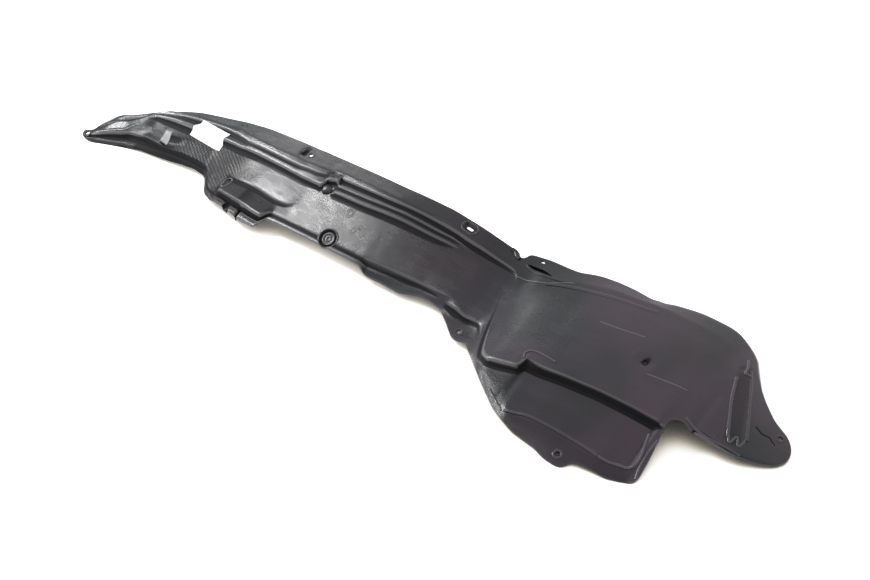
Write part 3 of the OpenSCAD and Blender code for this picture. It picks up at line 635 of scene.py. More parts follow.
def drill(sheet, spot, radius, half=0.0, ends=48):
    """A cutter square to the sheet, round or, with half its straight length given, long."""
    at = sheet.place(spot)
    turn = sheet.normal(*spot).to_track_quat("Z", "Y").to_matrix()
    slant = math.radians(SLOT_ANGLE)
    along = turn.inverted() @ Vector((math.cos(slant), math.sin(slant), 0))
    ang = math.atan2(along.y, along.x) if half else 0.0
    rings = []
    for z in (-DRILL_REACH, DRILL_REACH):
        ring = []
        for k in range(ends):
            a = 2 * math.pi * k / ends
            u, v = radius * math.cos(a) + math.copysign(half, math.cos(a)), radius * math.sin(a)
            across = Vector((u * math.cos(ang) - v * math.sin(ang),
                             u * math.sin(ang) + v * math.cos(ang), z))
            ring.append(at + turn @ across * MM)
        rings.append(ring)
    return drum("hole", *rings)


def slit_outline(points, width):
    """A narrow closed outline along an open path."""
    left, right = [], []
    n = len(points)
    for i, p in enumerate(points):
        a, b = np.array(points[max(i - 1, 0)], float), np.array(points[min(i + 1, n - 1)], float)
        d = (b - a) / np.linalg.norm(b - a)
        side = np.array([-d[1], d[0]]) * width / 2
        left.append(np.array(p, float) + side)
        right.append(np.array(p, float) - side)
    return left + right[::-1]


def boolean(obj, mesh, operation):
    tool = new_object("tool", mesh)
    mod = obj.modifiers.new("cut", "BOOLEAN")
    mod.operation = operation
    mod.object = tool
    mod.solver = "EXACT"
    deps = bpy.context.evaluated_depsgraph_get()
    done = bpy.data.meshes.new_from_object(obj.evaluated_get(deps))
    obj.modifiers.remove(mod)
    old = obj.data
    obj.data = done
    bpy.data.meshes.remove(old)
    bpy.data.objects.remove(tool)
    bpy.data.meshes.remove(mesh)
    if not len(done.polygons):
        raise RuntimeError("a cut left nothing of " + obj.name)


def shade(mesh, angle=38):
    """Smooth faces with crisp edges where the surface turns sharply."""
    bm = bmesh.new()
    bm.from_mesh(mesh)
    limit = math.radians(angle)
    for f in bm.faces:
        f.smooth = True
    for e in bm.edges:
        e.smooth = not (len(e.link_faces) == 2 and e.calc_face_angle(0) > limit)
    bm.to_mesh(mesh)
    bm.free()


# Shader maths as Python expressions.

class Sock:
    def __init__(self, mat, socket):
        self.mat, self.socket = mat, socket

    def _math(self, op, *args):
        return self.mat.node("ShaderNodeMath", {"operation": op}, dict(enumerate(args)))

    def __add__(self, o):
        return self._math("ADD", self, o)

    def __radd__(self, o):
        return self._math("ADD", o, self)

    def __sub__(self, o):
        return self._math("SUBTRACT", self, o)

    def __rsub__(self, o):
        return self._math("SUBTRACT", o, self)

    def __mul__(self, o):
        return self._math("MULTIPLY", self, o)

    def __rmul__(self, o):
        return self._math("MULTIPLY", o, self)


class Maker:
    """Builds one node material."""

    def __init__(self, name):
        self.material = bpy.data.materials.new(name)
        self.material.use_nodes = True
        self.tree = self.material.node_tree
        self.tree.nodes.clear()

    def node(self, kind, settings=None, inputs=None, out=0):
        n = self.tree.nodes.new(kind)
        for key, value in (settings or {}).items():
            if key == "stops":
                ramp_ = n.color_ramp
                while len(ramp_.elements) < len(value):
                    ramp_.elements.new(0.5)
                for el, (pos, col) in zip(ramp_.elements, value):
                    el.position = pos
                    el.color = (*col, 1) if isinstance(col, tuple) else (col, col, col, 1)
            else:
                setattr(n, key, value)
        for key, value in (inputs or {}).items():
            socket = n.inputs[key]
            if isinstance(value, Sock):
                self.tree.links.new(value.socket, socket)
            else:
                socket.default_value = value
        return Sock(self, n.outputs[out])

    def place(self, scale=(1, 1, 1), turn=(0, 0, 0), shift=(0, 0, 0)):
        coord = self.node("ShaderNodeTexCoord", out="Object")
        return self.node("ShaderNodeMapping", {},
                         {"Vector": coord, "Scale": scale, "Rotation": turn, "Location": shift})

    def noise(self, vector, scale, detail=3.0, rough=0.5):
        return self.node("ShaderNodeTexNoise", {},
                         {"Vector": vector, "Scale": scale, "Detail": detail, "Roughness": rough})

    def ramp(self, value, stops):
        return self.node("ShaderNodeValToRGB", {"stops": stops}, {"Fac": value})

    def span(self, value, a, b, c=0.0, d=1.0):
        return self.node("ShaderNodeMapRange", {"interpolation_type": "SMOOTHSTEP"},
                         {0: value, 1: a, 2: b, 3: c, 4: d})

    def tint(self, factor, a, b):
        return self.node("ShaderNodeMix", {"data_type": "RGBA"}, {0: factor, 6: a, 7: b}, out=2)

    def attribute(self, name):
        return self.node("ShaderNodeAttribute", {"attribute_name": name}, out="Fac")

    def finish(self, shader):
        end = self.tree.nodes.new("ShaderNodeOutputMaterial")
        self.tree.links.new(shader.socket, end.inputs["Surface"])
        return self.material


def rgba(colour):
    return (*colour, 1.0)


def moulded_plastic(f):
    """Black moulded plastic with a fine grain, a linen pattern at the rear and tints, with painted
    highlights on creases and the cut edge, a painted reflection on a rear facet and painted shade in
    creases, on walls and where the sheet tilts away.
    """
    m = Maker("moulded_plastic")
    here = m.place()
    x = m.node("ShaderNodeSeparateXYZ", {}, {0: here}, out=0)
    linen = m.attribute("linen")
    broad = m.noise(here, 4.5, 2.0, 0.5)
    other = m.noise(m.place(shift=(3.1, 1.7, 0.4)), 5.0, 2.0, 0.5)
    smears = m.noise(m.place(scale=(9, 30, 30)), 1.0, 5.0, 0.65)
    clouds = m.noise(m.place(scale=(1, 1.5, 1)), 22.0, 4.0, 0.6)
    specks = m.noise(here, 420.0, 2.0, 0.6)
    grain = m.noise(here, 620.0, 3.0, 0.75)
    pebble = m.node("ShaderNodeTexVoronoi", {"feature": "SMOOTH_F1"}, {"Vector": here, "Scale": 380.0})
    edge = m.attribute("edge")
    rim = m.attribute("rim")
    valley = m.attribute("valley")
    steep = m.attribute("steep")
    turned = m.attribute("turned")
    worn = m.attribute("worn")
    base = m.tint(m.span(broad, 0.36, 0.66), rgba(f.plastic), rgba(f.cool))
    panel = m.span(x, 0.22, 0.42)
    base = m.tint(m.span(other + panel * 0.14, 0.42, 0.7) * (panel * 0.6 + 0.4), base, rgba(f.warm))
    base = m.tint(m.span(specks, 0.64, 0.8, 0.0, 0.25), base, (0.06, 0.06, 0.062, 1))
    # Painted highlight: convex creases are tinted lighter so they read as lit lines.
    base = m.tint(m.span(edge, 0.2, 0.8, 0.0, 0.65), base, (0.16, 0.157, 0.162, 1))
    # Painted highlight along the cut edge, in place of the light a rounded edge would catch.
    base = m.tint(m.span(rim, 0.3, 1.0, 0.0, 0.5), base, (0.09, 0.088, 0.092, 1))
    # Painted reflection on the rear hollow's bright facet, and a lighter tone in the gaps between the
    # near-edge blocks.
    base = m.tint(worn, base, (0.42, 0.42, 0.42, 1))
    across = m.place(turn=(0, 0, math.radians(32)))
    warp = m.node("ShaderNodeTexWave", {"wave_type": "BANDS", "bands_direction": "X"},
                  {"Vector": across, "Scale": 62.0, "Distortion": 1.2, "Detail": 1.0}, out=1)
    weft = m.node("ShaderNodeTexWave", {"wave_type": "BANDS", "bands_direction": "Y"},
                  {"Vector": across, "Scale": 62.0, "Distortion": 1.2, "Detail": 1.0}, out=1)
    weave = (warp * 0.3 + weft * 0.7) * linen * m.span(x, -0.56, -0.5)
    gloss = (m.span(smears, 0.35, 0.7, f.gloss - 0.05, f.gloss + 0.08) + weave * 0.1
             - m.span(edge, 0.3, 1.0, 0.0, 0.05))
    fine = m.node("ShaderNodeBump", {}, {"Strength": 0.3, "Distance": 0.0005,
                                         "Height": grain + pebble * 0.5})
    woven = m.node("ShaderNodeBump", {}, {"Strength": 0.28, "Distance": 0.0008, "Height": weave,
                                          "Normal": fine})
    cloudy = clouds * m.span(x, -0.08, 0.12, 1.0, 0.22)
    wavy = m.node("ShaderNodeBump", {}, {"Strength": 0.24, "Distance": 0.003, "Height": cloudy,
                                         "Normal": woven})
    skin = m.node("ShaderNodeBsdfPrincipled", {}, {"Base Color": base, "Roughness": gloss, "Normal": wavy,
                                                   "IOR": 1.5, "Specular IOR Level": 0.5})
    # Painted shade: a dark, dull plastic that stands in for the shade in creases, on steep walls and
    # where the sheet turns away.
    dull = m.node("ShaderNodeBsdfPrincipled", {},
                  {"Base Color": rgba(f.shade), "Roughness": 0.6, "Normal": fine,
                                                   "Specular IOR Level": 0.12})
    # Share of painted shade in creases, on steep walls, on tilted places and on the web's right part,
    # plus the matt linen patch and its weave; less on the pale facet and gaps.
    matt_and_shade_share = m.span(valley, 0.08, 0.62, 0.0, 0.92) + m.span(steep, 0.0, 1.0, 0.0, 0.75) * (1 - edge)
    # Painted shade on the web right of the jog, which dims the spread of the lamp's reflection there.
    painted_web_shade = m.span(x, -0.11, 0.0, 0.0, 0.3) * m.span(x, 0.15, 0.25, 1.0, 0.0)
    matt_and_shade_share = (matt_and_shade_share + linen * 0.62 + weave * 0.34 + turned + painted_web_shade) * (1 - worn)
    clipped = m.node("ShaderNodeClamp", {}, {0: matt_and_shade_share})
    return m.finish(m.node("ShaderNodeMixShader", {}, {"Fac": clipped, 1: skin, 2: dull}))


def plain_paper(f):
    """Matt white paper with fibres and soft creases."""
    m = Maker("plain_paper")
    here = m.place()
    fibres = m.noise(here, 700.0, 4.0, 0.7)
    creases = m.noise(m.place(scale=(1, 2.2, 1)), 45.0, 2.0, 0.5)
    base = m.tint(m.span(fibres, 0.3, 0.7, 0.0, 0.5), rgba(f.paper), (0.8, 0.8, 0.79, 1))
    height = fibres * 0.3 + creases
    normal = m.node("ShaderNodeBump", {}, {"Strength": 0.3, "Distance": 0.0008, "Height": height}, out=0)
    rough = m.span(fibres, 0.2, 0.8, 0.62, 0.78)
    shader = m.node("ShaderNodeBsdfPrincipled", {},
                    {"Base Color": base, "Roughness": rough, "Normal": normal})
    return m.finish(shader)


def studio_floor(s):
    """Pale floor that shows white to the camera, keeps the real shadow of the object and adds a painted
    tan contact shadow where the floor is hemmed in.
    """
    m = Maker("studio_floor")
    soft = m.noise(m.place(), 3.0, 2.0, 0.5)
    base = m.tint(soft, rgba(s.floor), (0.89, 0.89, 0.89, 1))
    paint = m.node("ShaderNodeBsdfDiffuse", {}, {"Color": base})
    open_air = m.node("ShaderNodeAmbientOcclusion", {"samples": 12}, {"Distance": 0.25}, out=1)
    # Painted shadow: the lift fades to dark tan and black where little open air reaches the floor.
    lift_with_painted_shadow = m.ramp(open_air, [(0.0, (0, 0, 0)), (0.18, (0.01, 0.008, 0.004)), (0.3, (0.16, 0.125, 0.07)),
                             (0.42, (0.6, 0.54, 0.42)), (0.55, (1, 1, 1))])
    path = m.tree.nodes.new("ShaderNodeLightPath")
    seen = (Sock(m, path.outputs["Is Camera Ray"]) + Sock(m, path.outputs["Is Glossy Ray"])
            + Sock(m, path.outputs["Is Transmission Ray"]))
    lift = m.node("ShaderNodeEmission", {}, {"Color": lift_with_painted_shadow, "Strength": 0.8})
    lifted = m.node("ShaderNodeAddShader", {}, {0: paint, 1: lift})
    both = m.node("ShaderNodeMixShader", {}, {"Fac": seen, 1: paint, 2: lifted})
    return m.finish(both)


def put_material(obj, material):
    obj.data.materials.clear()
    obj.data.materials.append(material)


# Pieces.

def liner_mesh(shape):
    sheet = Sheet(shape)
    x = station_places(shape.station)
    sec = sheet.sections(x)
    y = row_places(sec)
    xx = np.repeat(x[:, None], y.shape[1], axis=1)
    top = np.minimum(sheet.over(sec, xx, y), CAD_BOX[1][2] / MM - 0.02)
    low = sheet.under(sec, xx, y)
    high = np.stack([xx, y, top], axis=2)
    deep = np.stack([xx, y, np.minimum(low, top - 1.0)], axis=2)
    return sheet, shell_mesh("liner_sheet", high, deep)


def write_attributes(mesh, values):
    for name, value in values.items():
        attr = mesh.attributes.new(name, "FLOAT", "POINT")
        attr.data.foreach_set("value", np.asarray(value, np.float32))


def surface_attributes(obj, sheet, outline):
    """Writes how sharply the sheet bulges or sinks, how steep it is and how near the cut edge lies, which
    become painted highlights and painted shade, with the linen patch, the painted tilt shade and the
    painted facet sheen.
    """
    mesh = obj.data
    n = len(mesh.vertices)
    co = np.empty(n * 3)
    mesh.vertices.foreach_get("co", co)
    co = co.reshape(-1, 3) / MM
    x, y = co[:, 0], co[:, 1]
    here = sheet.height(x, y)
    bulge, sink, slope = np.zeros(n), np.zeros(n), np.zeros(n)
    for dx, dy in ((1, 0), (0, 1), (0.7, 0.7), (0.7, -0.7)):
        e = 3.0
        side = 0.5 * (sheet.height(x + e * dx, y + e * dy) + sheet.height(x - e * dx, y - e * dy))
        bulge = np.maximum(bulge, here - side)
        sink = np.maximum(sink, side - here)
        e = 5.5
        side = 0.5 * (sheet.height(x + e * dx, y + e * dy) + sheet.height(x - e * dx, y - e * dy))
        sink = np.maximum(sink, 0.55 * (side - here))
        e = 1.5
        rise = abs(sheet.height(x + e * dx, y + e * dy) - sheet.height(x - e * dx, y - e * dy)) / (2 * e)
        slope = np.maximum(slope, rise)
    closed = [tuple(p) for p in outline] + [tuple(outline[0])]
    sec = sheet.sections(x)
    foot = sec[:, 7, 0]
    reach = 50 * (1 - ramp(0, 6, y - sec[:, 5, 0]))
    values = {
        # Painted highlight on the convex creases.
        "edge": np.clip((bulge - 0.15) / 0.9, 0, 1),
        # Painted shade in the creases, and a painted dark ring round the hole in the dome where the floor
        # below lies in shade.
        "valley": np.maximum(np.clip((sink - 0.2) / 1.1, 0, 1),
                             1 - ramp(4.4, 8,
                                      np.hypot(x - CLIPS_AT["dome"][0], y - CLIPS_AT["dome"][1]))),
        # Painted shade on steep walls.
        "steep": ramp(0.9, 2.4, slope),
        # Painted highlight along the cut edge.
        "rim": np.clip(1 - to_path(x, y, closed) / 2.5, 0, 1),
        "linen": (1 - 0.35 * ramp(0, 6, sec[:, 5, 0] - y) * ramp(-372, -365, x)) * ramp(-622, -592, x)
        * (1 - ramp(-372, -328, x - reach)) * (1 - ramp(foot - 5, foot, y)),
        # Painted shade where the sheet tilts away from the lamps.
        "turned": painted_tilt_shade(sheet, x, y),
        # Painted reflection on the rear hollow's facet, and lighter gaps between the near-edge blocks.
        "worn": np.maximum(bump(-560, -548, 3, x) * bump(24, 38, 4, y), 0.22 * bump(-56, -42, 3, y)
                           * block_gaps(x)),
    }
    write_attributes(mesh, values)


def painted_tilt_shade(sheet, x, y):
    """Share of painted shade where the sheet tilts to the floor: near wall, rear tab and recess."""
    sec = sheet.sections(x)
    # Each term is painted shade where the surface turns from the lamps or where a lamp's reflection is
    # too strong.
    wall = (1 - ramp(-450, -430, x)) * (1 - ramp(-4, 3, y - sec[:, 4, 0])) * 0.7
    tab = (1 - ramp(-702, -690, x)) * 0.6
    hollow = bump(318, 556, 6, x) * (1 - ramp(-3, 1, y - sec[:, 5, 0])) * 0.2
    lip = bump(345, 556, 8, x) * (1 - ramp(-3, 1, y - sec[:, 2, 0])) * 0.45
    flank = bump(255, 325, 14, x) * (1 - ramp(-12, 4, y - sec[:, 5, 0])) * 0.55
    band = 0.35 * (1 - ramp(9, 15, to_segment(x, y, BAND[0], BAND[1])[0]))
    drop = bump(322, 552, 4, x) * ramp(-2, 0, y - sec[:, 5, 0]) * (1 - ramp(-1, 2, y - sec[:, 6, 0]))
    pool = bump(-312, -218, 10, x) * ramp(2, 6,
                                          y - sec[:, 4, 0]) * (1 - ramp(-2, 4, y - sec[:, 5, 0])) * 0.5
    return np.maximum.reduce([wall, tab, hollow, lip, flank, band, drop, pool])


class LINER_OT_sheet(bpy.types.Operator):
    """Makes the moulded sheet, cut to its outline and drilled"""
    bl_idname = "liner.sheet"
    bl_label = "Moulded sheet"

    def execute(self, context):
        shape, finish = context.scene.liner_shape, context.scene.liner_finish
        sheet, mesh = liner_mesh(shape)
        obj = new_object("liner_skin", mesh)
        outline = eased(NEAR_EDGE + FAR_EDGE, 7)
        boolean(obj, prism("outline", outline, 0, CUT_HIGH), "INTERSECT")
        for points in (slit_outline(TAIL_SLIT, SLIT_WIDTH), FLANGE_SLIT, CORNER_HOLE):
            boolean(obj, prism("slit", points, CUT_LOW, CUT_HIGH), "DIFFERENCE")
        holes = [(spot, CLIP_R) for spot in CLIPS_AT.values()] + [(SCREW_AT, SCREW_R)]
        holes += [(spot, VENT_R) for spot in VENTS_AT] + [(BOSS_AT, BOSS_R - 1.5)]
        for spot, radius in holes:
            boolean(obj, drill(sheet, spot, radius), "DIFFERENCE")
        slot = drill(sheet, SLOT_AT, SLOT_WIDTH / 2, (SLOT_LENGTH - SLOT_WIDTH) / 2, 40)
        boolean(obj, slot, "DIFFERENCE")
        shade(obj.data)
        surface_attributes(obj, sheet, outline)
        put_material(obj, moulded_plastic(finish))
        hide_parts("liner")
        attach(obj, "root")
        return {"FINISHED"}


def revolve(name, profile, at, turn, steps=96):
    """A closed ring of faces from an open profile that starts and ends on the axis."""
    verts, rings, edge, valley = [], [], [], []
    for r, z, painted_highlight, crease in profile:
        edge += [painted_highlight] * (1 if r < 0.001 else steps)
        valley += [crease] * (1 if r < 0.001 else steps)
        if r < 0.001:
            rings.append([len(verts)])
            verts.append(at + turn @ Vector((0, 0, z)) * MM)
        else:
            ring = []
            for k in range(steps):
                a = 2 * math.pi * k / steps
                ring.append(len(verts))
                verts.append(at + turn @ Vector((r * math.cos(a), r * math.sin(a), z)) * MM)
            rings.append(ring)
    faces = []
    for a, b in zip(rings[:-1], rings[1:]):
        for k in range(steps):
            q = (k + 1) % steps
            if len(a) == 1:
                faces.append([a[0], b[k], b[q]])
            elif len(b) == 1:
                faces.append([a[k], a[q], b[0]])
            else:
                faces.append([a[k], b[k], b[q], a[q]])
    mesh = mesh_from(name, verts, faces)
    fix_normals(mesh)
    # edge is painted highlight and valley is painted shade on the ring.
    write_attributes(mesh, {"edge": edge, "valley": valley})
    return mesh


class LINER_OT_boss(bpy.types.Operator):
    """Makes the round boss with its sunk ring and button"""
    bl_idname = "liner.boss"
    bl_label = "Round boss"

    def execute(self, context):
        sheet = Sheet(context.scene.liner_shape)
        n = sheet.normal(*BOSS_AT)
        turn = n.to_track_quat("Z", "Y").to_matrix()
        mesh = revolve("boss_dish", BOSS_PROFILE, sheet.place(BOSS_AT), turn)
        obj = new_object("boss_dish", mesh)
        shade(obj.data, 60)
        put_material(obj, bpy.data.materials["moulded_plastic"])
        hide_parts("liner")
        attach(obj, "root")
        return {"FINISHED"}


class Tree:
    """Builds one Geometry Nodes tree with named inputs."""

    def __init__(self, name, sizes):
        self.tree = bpy.data.node_groups.new(name, "GeometryNodeTree")
        face = self.tree.interface
        face.new_socket("Geometry", in_out="INPUT", socket_type="NodeSocketGeometry")
        for label, value in sizes:
            face.new_socket(label, in_out="INPUT", socket_type="NodeSocketFloat").default_value = value
        face.new_socket("Material", in_out="INPUT", socket_type="NodeSocketMaterial")
        face.new_socket("Geometry", in_out="OUTPUT", socket_type="NodeSocketGeometry")
        self.start = self.tree.nodes.new("NodeGroupInput")

    def add(self, kind, settings=None, **links):
        n = self.tree.nodes.new(kind)
        for name, value in (settings or {}).items():
            setattr(n, name, value)
        for name, value in links.items():
            socket = n.inputs[name.replace("_", " ")]
            if isinstance(value, bpy.types.NodeSocket):
                self.tree.links.new(value, socket)
            else:
                socket.default_value = value
        return n

    def given(self, name):
        return self.start.outputs[name]

    def maths(self, a, b, op):
        n = self.tree.nodes.new("ShaderNodeMath")
        n.operation = op
        for socket, value in zip(n.inputs, (a, b)):
            if isinstance(value, bpy.types.NodeSocket):
                self.tree.links.new(value, socket)
            else:
                socket.default_value = value
        return n.outputs[0]

    def oval(self, width, height, resolution):
        """An oval profile with a width and a height in millimetres."""
        ring = self.add("GeometryNodeCurvePrimitiveCircle", Resolution=resolution, Radius=0.5 * MM)
        size = self.add("ShaderNodeCombineXYZ", X=width, Y=height, Z=1.0)
        return self.add("GeometryNodeTransform", Geometry=ring.outputs["Curve"],
                        Scale=size.outputs[0]).outputs[0]

    def finish(self, geometry):
        real = self.add("GeometryNodeRealizeInstances", Geometry=geometry)
        smooth = self.add("GeometryNodeSetShadeSmooth", Geometry=real.outputs[0])
        dressed = self.add("GeometryNodeSetMaterial", Geometry=smooth.outputs[0],
                           Material=self.given("Material"))
        end = self.tree.nodes.new("NodeGroupOutput")
        self.tree.links.new(dressed.outputs[0], end.inputs[0])
        return self.tree


def rim_tree():
    """Rounded ring round each hole: a circle with a flat oval profile on every point of the mesh."""
    t = Tree("hole_rims", (("Hole radius", CLIP_R), ("Ring width", 4.4), ("Ring height", 1.0)))
    half = t.maths(t.given("Ring width"), 0.5, "MULTIPLY")
    middle = t.maths(t.maths(t.given("Hole radius"), half, "ADD"), MM, "MULTIPLY")
    circle = t.add("GeometryNodeCurvePrimitiveCircle", Resolution=56, Radius=middle)
    flat = t.oval(t.given("Ring width"), t.given("Ring height"), 12)
    ring = t.add("GeometryNodeCurveToMesh", Curve=circle.outputs["Curve"], Profile_Curve=flat)
    turn = t.add("GeometryNodeInputNamedAttribute", {"data_type": "FLOAT_VECTOR"}, Name="turn")
    spread = t.add("GeometryNodeInstanceOnPoints", Points=t.given("Geometry"),
                   Instance=ring.outputs["Mesh"],
                   Rotation=turn.outputs["Attribute"])
    return t.finish(spread.outputs["Instances"])


def bead_tree():
    """Raised line: an oval profile swept along every path of the mesh, smaller towards open ends."""
    t = Tree("raised_lines", (("Bead width", 4.0), ("Bead height", 2.0)))
    path = t.add("GeometryNodeMeshToCurve", Mesh=t.given("Geometry"))
    taper = t.add("GeometryNodeInputNamedAttribute", {"data_type": "FLOAT"}, Name="taper")
    sized = t.add("GeometryNodeSetCurveRadius", Curve=path.outputs[0], Radius=taper.outputs["Attribute"])
    level = t.add("GeometryNodeSetCurveNormal", {"mode": "Z_UP"}, Curve=sized.outputs[0])
    flat = t.oval(t.given("Bead width"), t.maths(t.given("Bead height"), 2.0, "MULTIPLY"), 14)
    swept = t.add("GeometryNodeCurveToMesh", Curve=level.outputs[0], Profile_Curve=flat, Fill_Caps=True)
    return t.finish(swept.outputs["Mesh"])


def run_tree(obj, tree, sizes=()):
    """Applies a tree to an object, with its sizes set by the socket's identifier."""
    mod = obj.modifiers.new("tree", "NODES")
    mod.node_group = tree
    wanted = dict(sizes)
    for item in tree.interface.items_tree:
        if item.item_type == "SOCKET" and item.in_out == "INPUT":
            if item.name == "Material":
                mod[item.identifier] = bpy.data.materials["moulded_plastic"]
            elif item.name in wanted:
                mod[item.identifier] = float(wanted[item.name])
    done = bpy.data.meshes.new_from_object(obj.evaluated_get(bpy.context.evaluated_depsgraph_get()))
    obj.modifiers.remove(mod)
    obj.data = done
    if not len(done.polygons):
        raise RuntimeError("nothing came out of the tree for " + obj.name)
    fix_normals(done, 1e-6)


def smooth_path(points, step):
    """A rounded path through given points, with a point about every step."""
    p = np.array(points, float)
    ends = np.vstack([2 * p[0] - p[1], p, 2 * p[-1] - p[-2]])
    out = []
    for i in range(len(p) - 1):
        a, b, c, d = ends[i:i + 4]
        n = max(2, int(np.linalg.norm(c - b) / step))
        for t in np.arange(n) / n:
            out.append(0.5 * (2 * b + (c - a) * t + (2 * a - 5 * b + 4 * c - d) * t * t
                              + (3 * b - a - 3 * c + d) * t * t * t))
    return np.array(out + [p[-1]])


class LINER_OT_rims(bpy.types.Operator):
    """Makes the raised rings round the clip holes"""
    bl_idname = "liner.rims"
    bl_label = "Hole rings"

    def execute(self, context):
        sheet = Sheet(context.scene.liner_shape)
        spots = [CLIPS_AT[k] for k in ("rear", "near", "recess", "tail")] + [SCREW_AT]
        mesh = mesh_from("ring_points", [sheet.place(p) for p in spots], [])
        turns = mesh.attributes.new("turn", "FLOAT_VECTOR", "POINT")
        for item, p in zip(turns.data, spots):
            item.vector = sheet.normal(*p).to_track_quat("Z", "Y").to_euler()
        obj = new_object("hole_rings", mesh)
        run_tree(obj, rim_tree())
        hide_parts("liner")
        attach(obj, "root")
        return {"FINISHED"}


class LINER_OT_beads(bpy.types.Operator):
    """Makes the raised lines of the band, the recess, the panel and the tab"""
    bl_idname = "liner.beads"
    bl_label = "Raised lines"

    def tab_pocket(self, sheet):
        """A dark sheet under the tab opening, set where there is only shade beneath the tab; it closes
        the opening from below and is all painted shade.
        """
        x, y = np.meshgrid(np.arange(208, 272, 4.0), np.arange(78, 97, 3.0), indexing="ij")
        z = sheet.over(sheet.sections(x[:, 0]), x, y)
        mesh = shell_mesh("tab_pocket", np.dstack([x, y, z - 6.0]), np.dstack([x, y, z - 7.5]))
        fix_normals(mesh)
        write_attributes(mesh, {"valley": np.ones(len(mesh.vertices))})
        obj = new_object("tab_pocket", mesh)
        shade(mesh)
        put_material(obj, bpy.data.materials["moulded_plastic"])
        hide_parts("liner")
        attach(obj, "root")

    def knob(self, sheet):
        """The rounded end of the lower wall where the strip steps back."""
        out, inner, sunk = KNOB_R, KNOB_R - 2.4, Vector((0, 0, 7))
        # The profile carries painted highlight on the rounded shoulder and painted shade at its foot.
        profile = [(out * math.sin(a), out * math.cos(a), 0.5 if 0.3 < a < 0.9 else 0,
                    0.5 if a > 1.2 else 0)
                   for a in np.linspace(0, 1.6, 9)]
        profile += [(inner * math.sin(a), inner * math.cos(a), 0, 0) for a in np.linspace(1.6, 0, 9)]
        profile[0], profile[-1] = (0, out, 0.2, 0), (0, inner, 0, 0)
        mesh = revolve("step_knob", profile, sheet.place(KNOB_AT) - sunk * MM, Matrix.Identity(3), 48)
        obj = new_object("step_knob", mesh)
        shade(mesh, 60)
        put_material(obj, bpy.data.materials["moulded_plastic"])
        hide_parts("liner")
        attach(obj, "root")

    def execute(self, context):
        sheet = Sheet(context.scene.liner_shape)
        tree = bead_tree()
        self.tab_pocket(sheet)
        self.knob(sheet)
        for name, (width, height, painted_highlight, paths) in BEADS.items():
            verts, links, taper = [], [], []
            for points in paths:
                course = smooth_path(points, 1.5)
                closed = math.dist(points[0], points[-1]) < 0.01
                z = sheet.height(course[:, 0], course[:, 1])
                first = len(verts)
                for i, (p, h) in enumerate(zip(course, z)):
                    verts.append((p[0] * MM, p[1] * MM, h * MM))
                    taper.append(1.0 if closed else min(1.0,
                                                        0.15 + 0.4 * min(i, len(course) - 1 - i) / width))
                links += [(k, k + 1) for k in range(first, len(verts) - 1)]
            mesh = bpy.data.meshes.new(name)
            mesh.from_pydata(verts, links, [])
            # edge carries the painted highlight along each raised line.
            write_attributes(mesh, {"taper": taper, "edge": [painted_highlight] * len(verts)})
            obj = new_object(name, mesh)
            run_tree(obj, tree, (("Bead width", width), ("Bead height", height)))
            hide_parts("liner")
            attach(obj, "root")
        return {"FINISHED"}


def label_outline():
    """Outline of the label, with its right-hand edge slightly torn."""
    out = []
    for i, (u, v) in enumerate(LABEL_PLAN):
        out.append((LABEL_AT[0] + u, LABEL_AT[1] + v))
        if 1 <= i <= 3:
            u2, v2 = LABEL_PLAN[i + 1]
            for t in (0.2, 0.4, 0.6, 0.8):
                jag = 0.5 * math.sin(9 * (v + t * (v2 - v)))
                out.append((LABEL_AT[0] + u + t * (u2 - u) + jag, LABEL_AT[1] + v + t * (v2 - v)))
    return out


class LINER_OT_label(bpy.types.Operator):
    """Makes the blank paper label that follows the steps"""
    bl_idname = "liner.label"
    bl_label = "Paper label"

    def execute(self, context):
        sheet = Sheet(context.scene.liner_shape)
        x, y = np.meshgrid(np.arange(-515, -414, 1.5), np.arange(28, 80, 1.25), indexing="ij")
        sec = sheet.sections(x[:, 0])
        z = np.maximum(sheet.over(sec, x, y), sheet.rounded(sec, y, 9))
        mesh = shell_mesh("paper_label", np.dstack([x, y, z + LABEL_GAP + LABEL_THICK]),
                          np.dstack([x, y, z + LABEL_GAP]))
        fix_normals(mesh)
        obj = new_object("paper_label", mesh)
        boolean(obj, prism("label_plan", label_outline(), 0, CUT_HIGH), "INTERSECT")
        shade(obj.data, 50)
        put_material(obj, plain_paper(context.scene.liner_finish))
        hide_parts("label")
        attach(obj, "root")
        return {"FINISHED"}


def area_lamp(name, at, aim, size, size_y, power):
    """A rectangular lamp that points at a place."""
    data = bpy.data.lights.new(name, "AREA")
    data.shape = "RECTANGLE"
    data.size, data.size_y = size, size_y
    data.energy = power
    lamp = bpy.data.objects.new(name, data)
    bpy.context.scene.collection.objects.link(lamp)
    lamp.location = at
    lamp.rotation_euler = (Vector(aim) - Vector(at)).to_track_quat("-Z", "Y").to_euler()


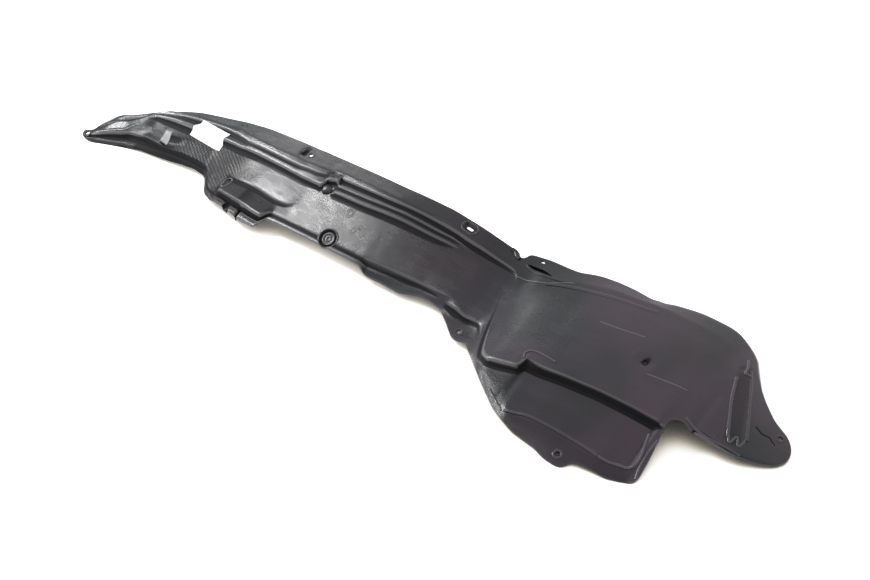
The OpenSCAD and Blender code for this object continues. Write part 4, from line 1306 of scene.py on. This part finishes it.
class LINER_OT_stage(bpy.types.Operator):
    """Makes the floor, the lamps, the world and the camera"""
    bl_idname = "liner.stage"
    bl_label = "Stage"

    def execute(self, context):
        scene, s = context.scene, context.scene.liner_studio
        z = CAD_BOX[0][2] - FLOOR_DROP
        corners = [(a * FLOOR_HALF, b * FLOOR_HALF, z) for a, b in ((-1, -1), (1, -1), (1, 1), (-1, 1))]
        floor = new_object("floor", mesh_from("floor", corners, [[0, 1, 2, 3]]))
        put_material(floor, studio_floor(s))
        for name, (at, aim, size, size_y, power) in LAMPS.items():
            area_lamp(name, at, aim, size, size_y, getattr(s, power))
        world = bpy.data.worlds.new("studio")
        world.use_nodes = True
        tree = world.node_tree
        tree.nodes.clear()
        out = tree.nodes.new("ShaderNodeOutputWorld")
        back = tree.nodes.new("ShaderNodeBackground")
        lit = tree.nodes.new("ShaderNodeBackground")
        pick = tree.nodes.new("ShaderNodeMixShader")
        path = tree.nodes.new("ShaderNodeLightPath")
        back.inputs[1].default_value = 1.0
        lit.inputs[0].default_value = (1, 1, 1, 1)
        lit.inputs[1].default_value = s.sky
        back.inputs[0].default_value = (1, 1, 1, 1)
        joined = tree.nodes.new("ShaderNodeMath")
        joined.operation = "MAXIMUM"
        tree.links.new(path.outputs["Is Camera Ray"], joined.inputs[0])
        tree.links.new(path.outputs["Is Glossy Ray"], joined.inputs[1])
        tree.links.new(joined.outputs[0], pick.inputs[0])
        tree.links.new(lit.outputs[0], pick.inputs[1])
        tree.links.new(back.outputs[0], pick.inputs[2])
        tree.links.new(pick.outputs[0], out.inputs[0])
        scene.world = world
        scene.view_settings.view_transform = "Standard"
        data = bpy.data.cameras.new("camera")
        data.lens = CAMERA_LENS
        data.sensor_width = 36
        data.clip_start, data.clip_end = 0.05, 50
        camera = bpy.data.objects.new("camera", data)
        scene.collection.objects.link(camera)
        az, el = math.radians(CAMERA_TURN), math.radians(CAMERA_RISE)
        back_way = Vector((math.sin(az) * math.cos(el), -math.cos(az) * math.cos(el), math.sin(el)))
        camera.location = Vector(CAMERA_AIM) + CAMERA_DISTANCE * back_way
        camera.rotation_euler = (-back_way).to_track_quat("-Z", "Y").to_euler()
        scene.camera = camera
        return {"FINISHED"}


class LINER_PT_panel(bpy.types.Panel):
    bl_idname = "LINER_PT_panel"
    bl_label = "Wheel arch liner"
    bl_space_type = "VIEW_3D"
    bl_region_type = "UI"
    bl_category = "Liner"

    def draw(self, context):
        for group in (context.scene.liner_shape, context.scene.liner_finish, context.scene.liner_studio):
            for name in group.bl_rna.properties.keys():
                if name not in ("rna_type", "name"):
                    self.layout.prop(group, name)
        for item in STEPS:
            self.layout.operator(item)


STEPS = ("liner.sheet", "liner.boss", "liner.rims", "liner.beads", "liner.label", "liner.stage")
CLASSES = (LinerShape, LinerFinish, LinerStudio, LINER_OT_sheet, LINER_OT_boss, LINER_OT_rims,
           LINER_OT_beads,
           LINER_OT_label, LINER_OT_stage, LINER_PT_panel)


def register():
    for cls in CLASSES:
        bpy.utils.register_class(cls)
    bpy.types.Scene.liner_shape = PointerProperty(type=LinerShape)
    bpy.types.Scene.liner_finish = PointerProperty(type=LinerFinish)
    bpy.types.Scene.liner_studio = PointerProperty(type=LinerStudio)


def unregister():
    del bpy.types.Scene.liner_shape
    del bpy.types.Scene.liner_finish
    del bpy.types.Scene.liner_studio
    for cls in reversed(CLASSES):
        bpy.utils.unregister_class(cls)


def main():
    register()
    for item in STEPS:
        group, name = item.split(".")
        getattr(getattr(bpy.ops, group), name)()


if __name__ == "__main__":
    main()
